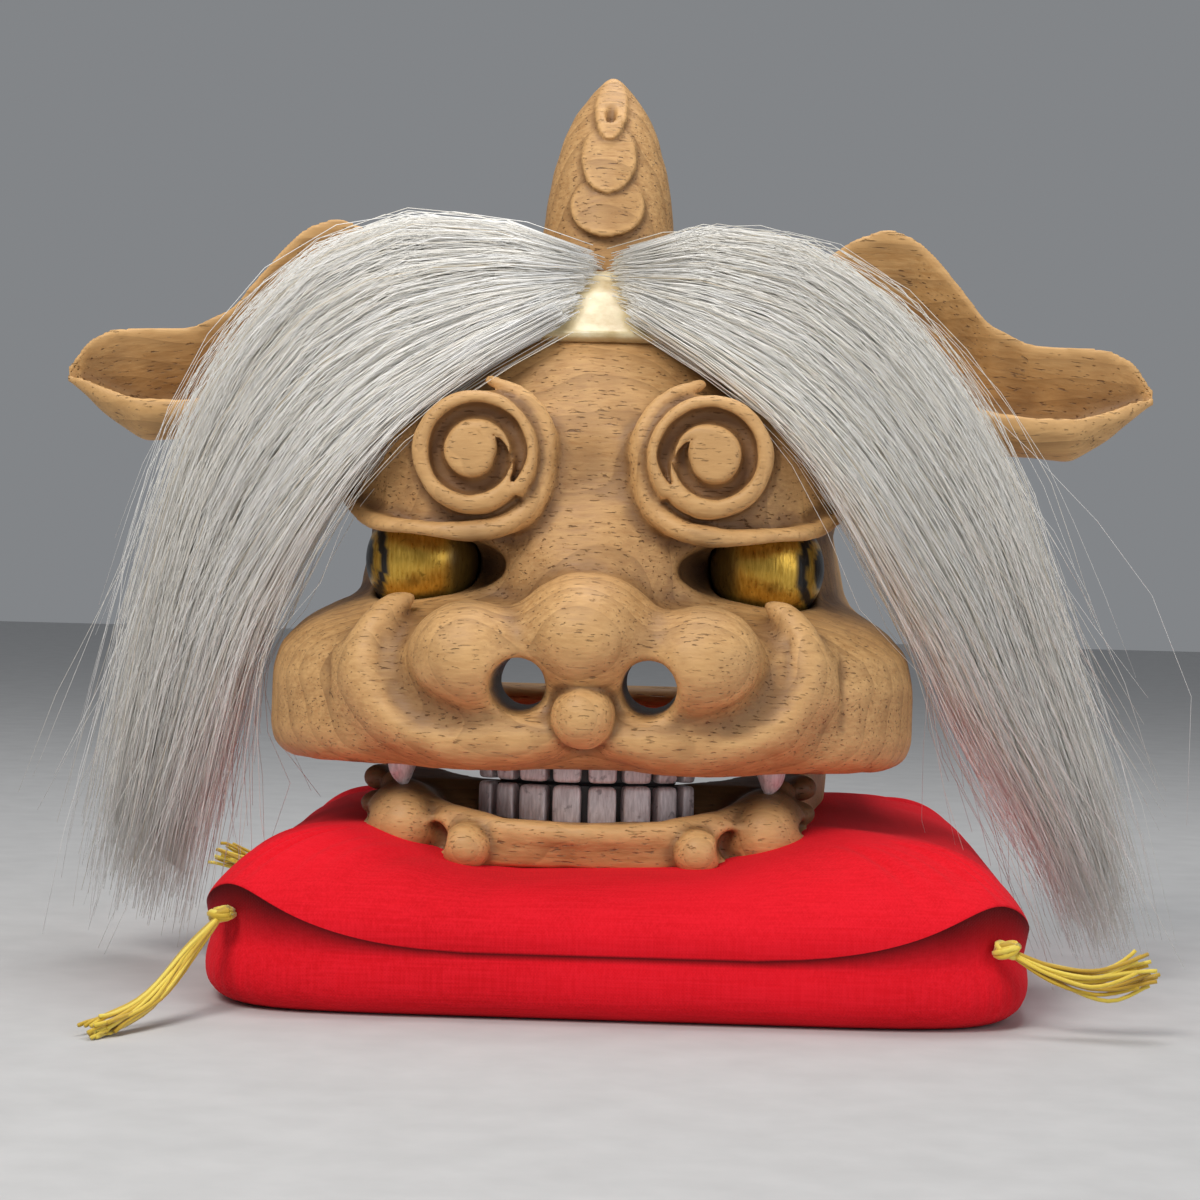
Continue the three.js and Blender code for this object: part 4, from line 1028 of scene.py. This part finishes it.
# Half of a side's hair, or its loose hair, which strays and waves more
def make_strands(name, side, rows, count, seed, loose):
    draw = np.random.default_rng(seed)
    places = np.linspace(0, 1, HAIR["points"])
    scatter, bending, waving, shortest = (0.32, 15.0, 6.0, 0.45) if loose else (0.17, 3.2, 1.2, 0.62)
    middle = along_rows(rows, places)
    inner, outer = middle[None, :, :3], middle[None, :, 3:]
    clump = draw.uniform(0, 1, HAIR["clumps"])
    pick = draw.integers(0, HAIR["clumps"], count)
    root = draw.uniform(-0.03, 1.03, count)
    tip = root + (clump[pick] - root) * draw.uniform(0.0, 0.35, count) + draw.normal(0, scatter, count)
    share = root[:, None] + (tip - root)[:, None] * places[None] ** 1.5
    depth = draw.uniform(-1, 1, count)
    paths = inner + (outer - inner) * share[..., None]
    puff = 0.35 + 0.65 * np.sin(np.pi * np.clip(places, 0.02, 1) ** 0.7)
    paths[..., 1] += depth[:, None] * HAIR["depth"] * puff
    bend = draw.normal(0, 1, (count, 3)) * bending
    wave = draw.normal(0, 1, (count, 3)) * waving
    paths += draw.normal(0, 1, (count, 1, 3)) * (2.2, 0.8, 1.6)
    paths += bend[:, None] * (places ** 2)[None, :, None]
    phase = draw.uniform(0, 6, (count, 1))
    paths += wave[:, None] * np.sin(places * 7 + phase)[..., None] * places[None, :, None]
    length = draw.uniform(shortest, 1.0, count)
    cut = length[:, None] * places[None] * (HAIR["points"] - 1)
    i = np.clip(np.floor(cut).astype(int), 0, HAIR["points"] - 2)
    part = (cut - i)[..., None]
    each = np.arange(count)[:, None]
    paths = paths[each, i] * (1 - part) + paths[each, i + 1] * part
    paths[..., 0] = np.clip(paths[..., 0], *HAIR_SPAN) * side
    paths[..., 2] = np.maximum(paths[..., 2], HAIR_FLOOR)
    taper = np.linspace(1.0, 0.45, HAIR["points"])[None]
    radii = HAIR["radius"] * draw.uniform(0.7, 1.2, count)[:, None] * taper
    tints = np.clip(draw.normal(0.62, 0.22, count), 0, 1)
    return tubes(name, push_out(paths), radii, tints, HAIR_MATERIAL)


# Keep strands off the carved head: points inside a clearance are moved forward and outward
def push_out(paths):
    shape = paths.shape[:2]
    flat = paths.reshape(-1, 3)
    row = columns(HEAD_ROWS, STACK_NAMES, flat[:, 2], 0)
    low = flat[:, 2] < HEAD_ROWS[0][0]
    ahead = np.maximum(row["side"] - flat[:, 1], 0)
    deep = row["side"] - row["front"]
    power = row["square"]
    wide = np.abs(flat[:, 0])
    rho = ((wide / row["half"]) ** power + (ahead / deep) ** power) ** (1 / power)
    near = (rho < HAIR_CLEAR["share"]) & ~low & (flat[:, 2] < HAIR_CLEAR["top"])
    grow = np.where(near, HAIR_CLEAR["share"] / np.maximum(rho, 0.2), 1)
    grow = np.minimum(grow, HAIR_CLEAR["most"])
    flat[:, 0] *= grow
    flat[:, 1] = np.where(ahead > 0, row["side"] - ahead * grow, flat[:, 1])
    return flat.reshape(*shape, 3)


# Body of hair under the strands: a flattened closed tube along the sweep
def make_locks(name, side, rows):
    stations, around = 60, 40
    places = np.linspace(0, 0.93, stations)
    middle = along_rows(rows, places)
    inner, outer = middle[:, :3], middle[:, 3:]
    points, across, along = [], [], []
    for s in range(stations):
        thick = 5.0 * math.sin(math.pi * min(places[s] + 0.08, 1.0) ** 0.8) + 0.8
        for i in range(around):
            turn = 2 * math.pi * i / around
            share = 0.5 - 0.47 * math.cos(turn)
            ripple = 1 + 0.25 * math.sin(share * 34 + 2.2 * places[s])
            spot = inner[s] + (outer[s] - inner[s]) * share
            points.append((spot[0], spot[1] + 2 - thick * math.sin(turn) * ripple, spot[2]))
            across.append(share + 0.31 * (turn > math.pi))
            along.append(places[s])
    points = push_out(np.array(points)[None])[0]
    points[:, 0] *= side
    groups = [group[:, ::side] for group in ring_faces(stations, around)]
    made = make_object(name, points, groups, LOCK_MATERIAL)
    set_attribute(made.data, "across", across)
    set_attribute(made.data, "along", along)
    return made


# Strip of hide that follows the forehead, rolled at its lower edge
def make_hide():
    steps, levels = 60, 16
    rings = []
    for i in range(steps + 1):
        turn = 0.5 + (math.pi - 1.0) * i / steps
        loop = []
        for lift in (HIDE["under"], HIDE["over"]):
            edge = []
            for k in range(levels + 1):
                z = HIDE["low"] + HIDE["tall"] * k / levels
                row = columns(HEAD_ROWS, STACK_NAMES, z)
                power = 2 / row["square"]
                x = row["half"] * math.copysign(abs(math.cos(turn)) ** power, math.cos(turn))
                y = row["side"] - (row["side"] - row["front"]) * math.sin(turn) ** power
                out = np.array([x / row["half"], (y - row["side"]) / row["half"], 0.9])
                roll = HIDE["roll"] * math.exp(-((k / levels) / 0.12) ** 2) if lift > 1 else 0
                edge.append(np.array([x, y, z]) + out / np.linalg.norm(out) * (lift + roll))
            loop.extend(edge if lift < 1 else edge[::-1])
        rings.append(loop)
    points = np.array(rings)
    groups = ring_faces(steps + 1, points.shape[1])
    return make_object("hide_strip", points.reshape(-1, 3), groups, HIDE_MATERIAL)


# Height of the cushion's top over its seam
def cushion_top(x, y):
    across = np.minimum(np.abs(x - CUSHION["x"]) / CUSHION["half"], 1)
    ahead = np.minimum(np.abs(y) / CUSHION["half"], 1)
    puff = np.sqrt((1 - across ** 7) * (1 - ahead ** 7))
    press = np.exp(-((x / DENT["x"]) ** 4)) * np.exp(-(((y - DENT["y"]) / DENT["spread"]) ** 4))
    return (CUSHION["rise"] - DENT["depth"] * press) * puff


def make_cushion():
    steps, rings = CUSHION["steps"], CUSHION["rings"]
    turn = 2 * np.pi * (np.arange(steps) + 0.5) / steps
    power = 2 / CUSHION["square"]
    ux = np.sign(np.cos(turn)) * np.abs(np.cos(turn)) ** power
    uy = np.sign(np.sin(turn)) * np.abs(np.sin(turn)) ** power
    corner = (np.abs(ux) * np.abs(uy)) ** 6
    folds = np.cos(turn * 48) * corner
    seam = CUSHION["seam"] - CUSHION["sag"] * (1 - corner)
    top, bottom = [], []
    for r in range(rings + 1):
        share = r / rings
        scale = max(math.sin(share * math.pi / 2) ** 0.6, 0.02)
        x = CUSHION["x"] + CUSHION["half"] * scale * ux
        y = CUSHION["half"] * scale * uy
        height = cushion_top(x, y)
        swell = 1 + CUSHION["swell"] * np.sin(np.pi * np.clip(height / 16, 0, 1)) * share ** 4
        pinch = 1 - CUSHION["pinch"] * corner * share ** 8
        near = np.sin(np.pi * np.clip((scale - 0.72) / 0.28, 0, 1))
        wrinkle = near * (1.5 * folds + 0.45 * np.sin(turn * 23 + 1.3) + 0.4 * np.sin(turn * 37 + 0.4))
        x = CUSHION["x"] + (x - CUSHION["x"]) * swell * pinch
        top.append(np.stack([x, y * swell * pinch, seam + height + wrinkle], 1))
    under = CUSHION["under"]
    for r in range(1, under + 1):
        share = r / under
        roll = min(share / 0.7, 1) * math.pi / 2
        scale = 1 + 0.026 * math.sin(2 * roll) - 0.08 * (1 - math.cos(roll)) - 0.9 * max(share - 0.7, 0) / 0.3
        pinch = 1 - CUSHION["pinch"] * corner * (1 - share) ** 4
        pucker = 1 + 0.004 * folds * math.sin(math.pi * share)
        x = CUSHION["x"] + CUSHION["half"] * scale * ux * pinch * pucker
        y = CUSHION["half"] * scale * uy * pinch * pucker
        bottom.append(np.stack([x, y, seam * (1 - math.sin(roll))], 1))
    points = np.concatenate(top + bottom)
    made = make_object("cushion_cover", points, ring_faces(rings + 1 + under, steps, 0, True), COTTON)
    # The ring at the seam is marked for painted shade
    crease = np.zeros(len(points))
    crease[rings * steps:(rings + 1) * steps] = 1
    set_attribute(made.data, "crease", crease)
    return made


def make_tassel(name, side_x, side_y, rows, seed):
    draw = np.random.default_rng(seed)
    diagonal = math.sqrt(0.5) ** (2 / CUSHION["square"])
    corner = CUSHION["half"] * diagonal * (1 - 0.05 * diagonal ** 12)
    reach = corner + (TASSEL["knot"] + 0.4) * math.sqrt(0.5)
    knot = np.array([CUSHION["x"] + side_x * reach, side_y * reach, rows[0][2]])
    places = np.linspace(0, 1, 16)
    line = along_rows(rows, places)
    base = np.stack([knot[0] + side_x * line[:, 0], knot[1] + side_y * line[:, 1], line[:, 2]], 1)
    fan = draw.normal(0, 1, (TASSEL["strands"], 3)) * TASSEL["spread"]
    curl = draw.normal(0, 1, (TASSEL["strands"], 3)) * 0.8
    paths = base[None] + fan[:, None] * places[None, :, None] ** 0.8
    phase = draw.uniform(0, 6, (TASSEL["strands"], 1))
    paths += curl[:, None] * np.sin(places * 8 + phase)[..., None] * places[None, :, None]
    paths[..., 2] = np.maximum(paths[..., 2], 0.6)
    loops = []
    for i in range(TASSEL["laps"]):
        turn = np.linspace(0, 2 * math.pi, 16)
        tilt = draw.normal(0, 0.5, 2)
        ring = np.stack([np.cos(turn), np.sin(turn), tilt[0] * np.cos(turn) + tilt[1] * np.sin(turn)], 1)
        radius = TASSEL["knot"] - 0.4 - 0.12 * i
        loops.append(knot + ring / np.linalg.norm(ring, axis=1, keepdims=True) * radius)
    every = np.concatenate([paths, np.array(loops)])
    radii = np.full(every.shape[:2], TASSEL["thread"])
    radii[TASSEL["strands"]:] = TASSEL["wound"]
    return tubes(name, every, radii, draw.uniform(0, 1, len(every)), FLOSS, 6)


def make_fang(name, side):
    places = np.linspace(0, 1, 14)
    line = along_rows(FANG_ROWS, places)
    path = line[None, :, :3] * np.array([side, 1, 1])
    made = tubes(name, path, line[None, :, 3], np.zeros(1), SILVER_WITH_PAINTED_RED_REFLECTION, 24)
    set_attribute(made.data, "ink_and_painted_shade", np.zeros(len(made.data.vertices)))
    return made


def make_rod():
    places = np.linspace(-HINGE["half"], HINGE["half"], 40)
    path = np.stack([places, np.full(40, HINGE["y"]), np.full(40, HINGE["z"])], 1)[None]
    radii = np.full((1, 40), HINGE["rod"] - 0.02)
    radii[0, [0, -1]] -= 0.6
    made = tubes("rod_turned", path, radii, np.zeros(1), EAR_WOOD, 28)
    for key, value in (("ink_and_painted_shade", 0.0), ("hollow", 0.5)):
        set_attribute(made.data, key, np.full(len(made.data.vertices), value))
    return made


# Tie a piece to its body, and hide the nodes it replaces
def place(made, body, slot, *nodes):
    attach(made, body)
    if nodes:
        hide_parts(*nodes)
    return made


# Camera and light
def make_camera():
    data = bpy.data.cameras.new("camera")
    data.lens = CAMERA["lens"]
    data.sensor_width = 36
    made = bpy.data.objects.new("camera", data)
    bpy.context.scene.collection.objects.link(made)
    turn, rise = math.radians(CAMERA["azimuth"]), math.radians(CAMERA["elevation"])
    away = Vector((math.sin(turn) * math.cos(rise), -math.cos(turn) * math.cos(rise), math.sin(rise)))
    target = Vector(CAMERA["target"]) * MM
    made.location = target + away * CAMERA["distance"] * MM
    aim = (-away).to_track_quat("-Z", "Y").to_matrix()
    made.rotation_euler = (aim @ Matrix.Rotation(math.radians(CAMERA["roll"]), 3, "Z")).to_euler()
    bpy.context.scene.camera = made


def make_light(name, where, target, size, power, color):
    data = bpy.data.lights.new(name, "AREA")
    data.size = size
    data.energy = power
    data.color = color
    made = bpy.data.objects.new(name, data)
    made.location = where
    made.rotation_euler = (Vector(target) - Vector(where)).to_track_quat("-Z", "Y").to_euler()
    bpy.context.scene.collection.objects.link(made)


def make_floor():
    material, tree, shader = blank_material("floor_paper")
    grain = noise_node(tree, object_place(tree), 60.0, 3.0)
    set_inputs(tree, shader, {"Base Color": ramp(tree, grain, [(0.3, 0.5), (0.7, 0.55)]), "Roughness": 0.8})
    size = 3000
    corners = [(-size, -size, 0), (size, -size, 0), (size, size, 0), (-size, size, 0)]
    floor = make_object("floor", corners, [[(0, 1, 2, 3)]], material)


make_camera()
make_floor()
bpy.context.scene.view_settings.view_transform = "Standard"
world = bpy.data.worlds.new("studio")
world.use_nodes = True
world.node_tree.nodes["Background"].inputs[0].default_value = (0.75, 0.78, 0.82, 1)
world.node_tree.nodes["Background"].inputs[1].default_value = 0.3
bpy.context.scene.world = world
make_light("key", (-0.35, -0.75, 0.85), (0, 0, 0.1), 0.45, 7.6, (1, 0.97, 0.93))
make_light("fill", (0.8, -0.7, 0.45), (0, 0, 0.1), 0.7, 2.9, (0.95, 0.97, 1))
make_light("top", (0.05, 0.15, 1.0), (0, 0, 0.1), 0.5, 4.2, (1, 1, 1))

place(make_head(), "head", "wood", "head")
place(make_horn(), "head", "wood", "horn")
place(make_jaw(), "base", "wood", "lower_jaw")
place(make_rod(), "base", "wood", "jaw_rod")
for label, hand in (("left", -1), ("right", 1)):
    place(make_ear(f"ear_{label}_carved", hand), "head", "wood", f"ear_{label}")
    place(make_eye(f"eye_{label}_painted", hand), "head", "gold_paint", f"eye_{label}")
    place(make_fang(f"fang_{label}_painted", hand), "head", "silver_paint", f"fang_{label}")
upper = make_teeth("upper_teeth_painted", TEETH["bite"] + 0.2, TEETH_TOP, 3, True)
place(upper, "head", "silver_paint", "upper_teeth")
lower = make_teeth("lower_teeth_painted", TEETH_BASE, TEETH["bite"] - 0.2, 5, False)
place(lower, "base", "silver_paint", "lower_teeth")

place(make_hide(), "head", "horsehair", "mane")
half = HAIR["strands"] // 2
for label, hand, table in (("left", -1, MANE_LEFT), ("right", 1, MANE_RIGHT)):
    place(make_locks(f"mane_{label}_locks", hand, table), "head", "horsehair")
    for layer, count, seed in (("under", half, 20), ("over", half, 30), ("loose", HAIR["loose"], 40)):
        strands = make_strands(f"mane_{label}_{layer}", hand, table, count, seed + hand, layer == "loose")
        place(strands, "head", "horsehair")

cushion = place(make_cushion(), "base", "red_cotton", "cushion")
for label, hand_x, hand_y, rows in (
    ("front_left", -1, -1, TASSEL_TRAIL), ("front_right", 1, -1, TASSEL_STICK),
    ("back_left", -1, 1, TASSEL_STICK), ("back_right", 1, 1, TASSEL_TRAIL),
):
    made = make_tassel(f"tassel_{label}_threads", hand_x, hand_y, rows, 60 + hand_x + 2 * hand_y)
    place(made, "base", "yellow_floss", f"tassel_{label}")
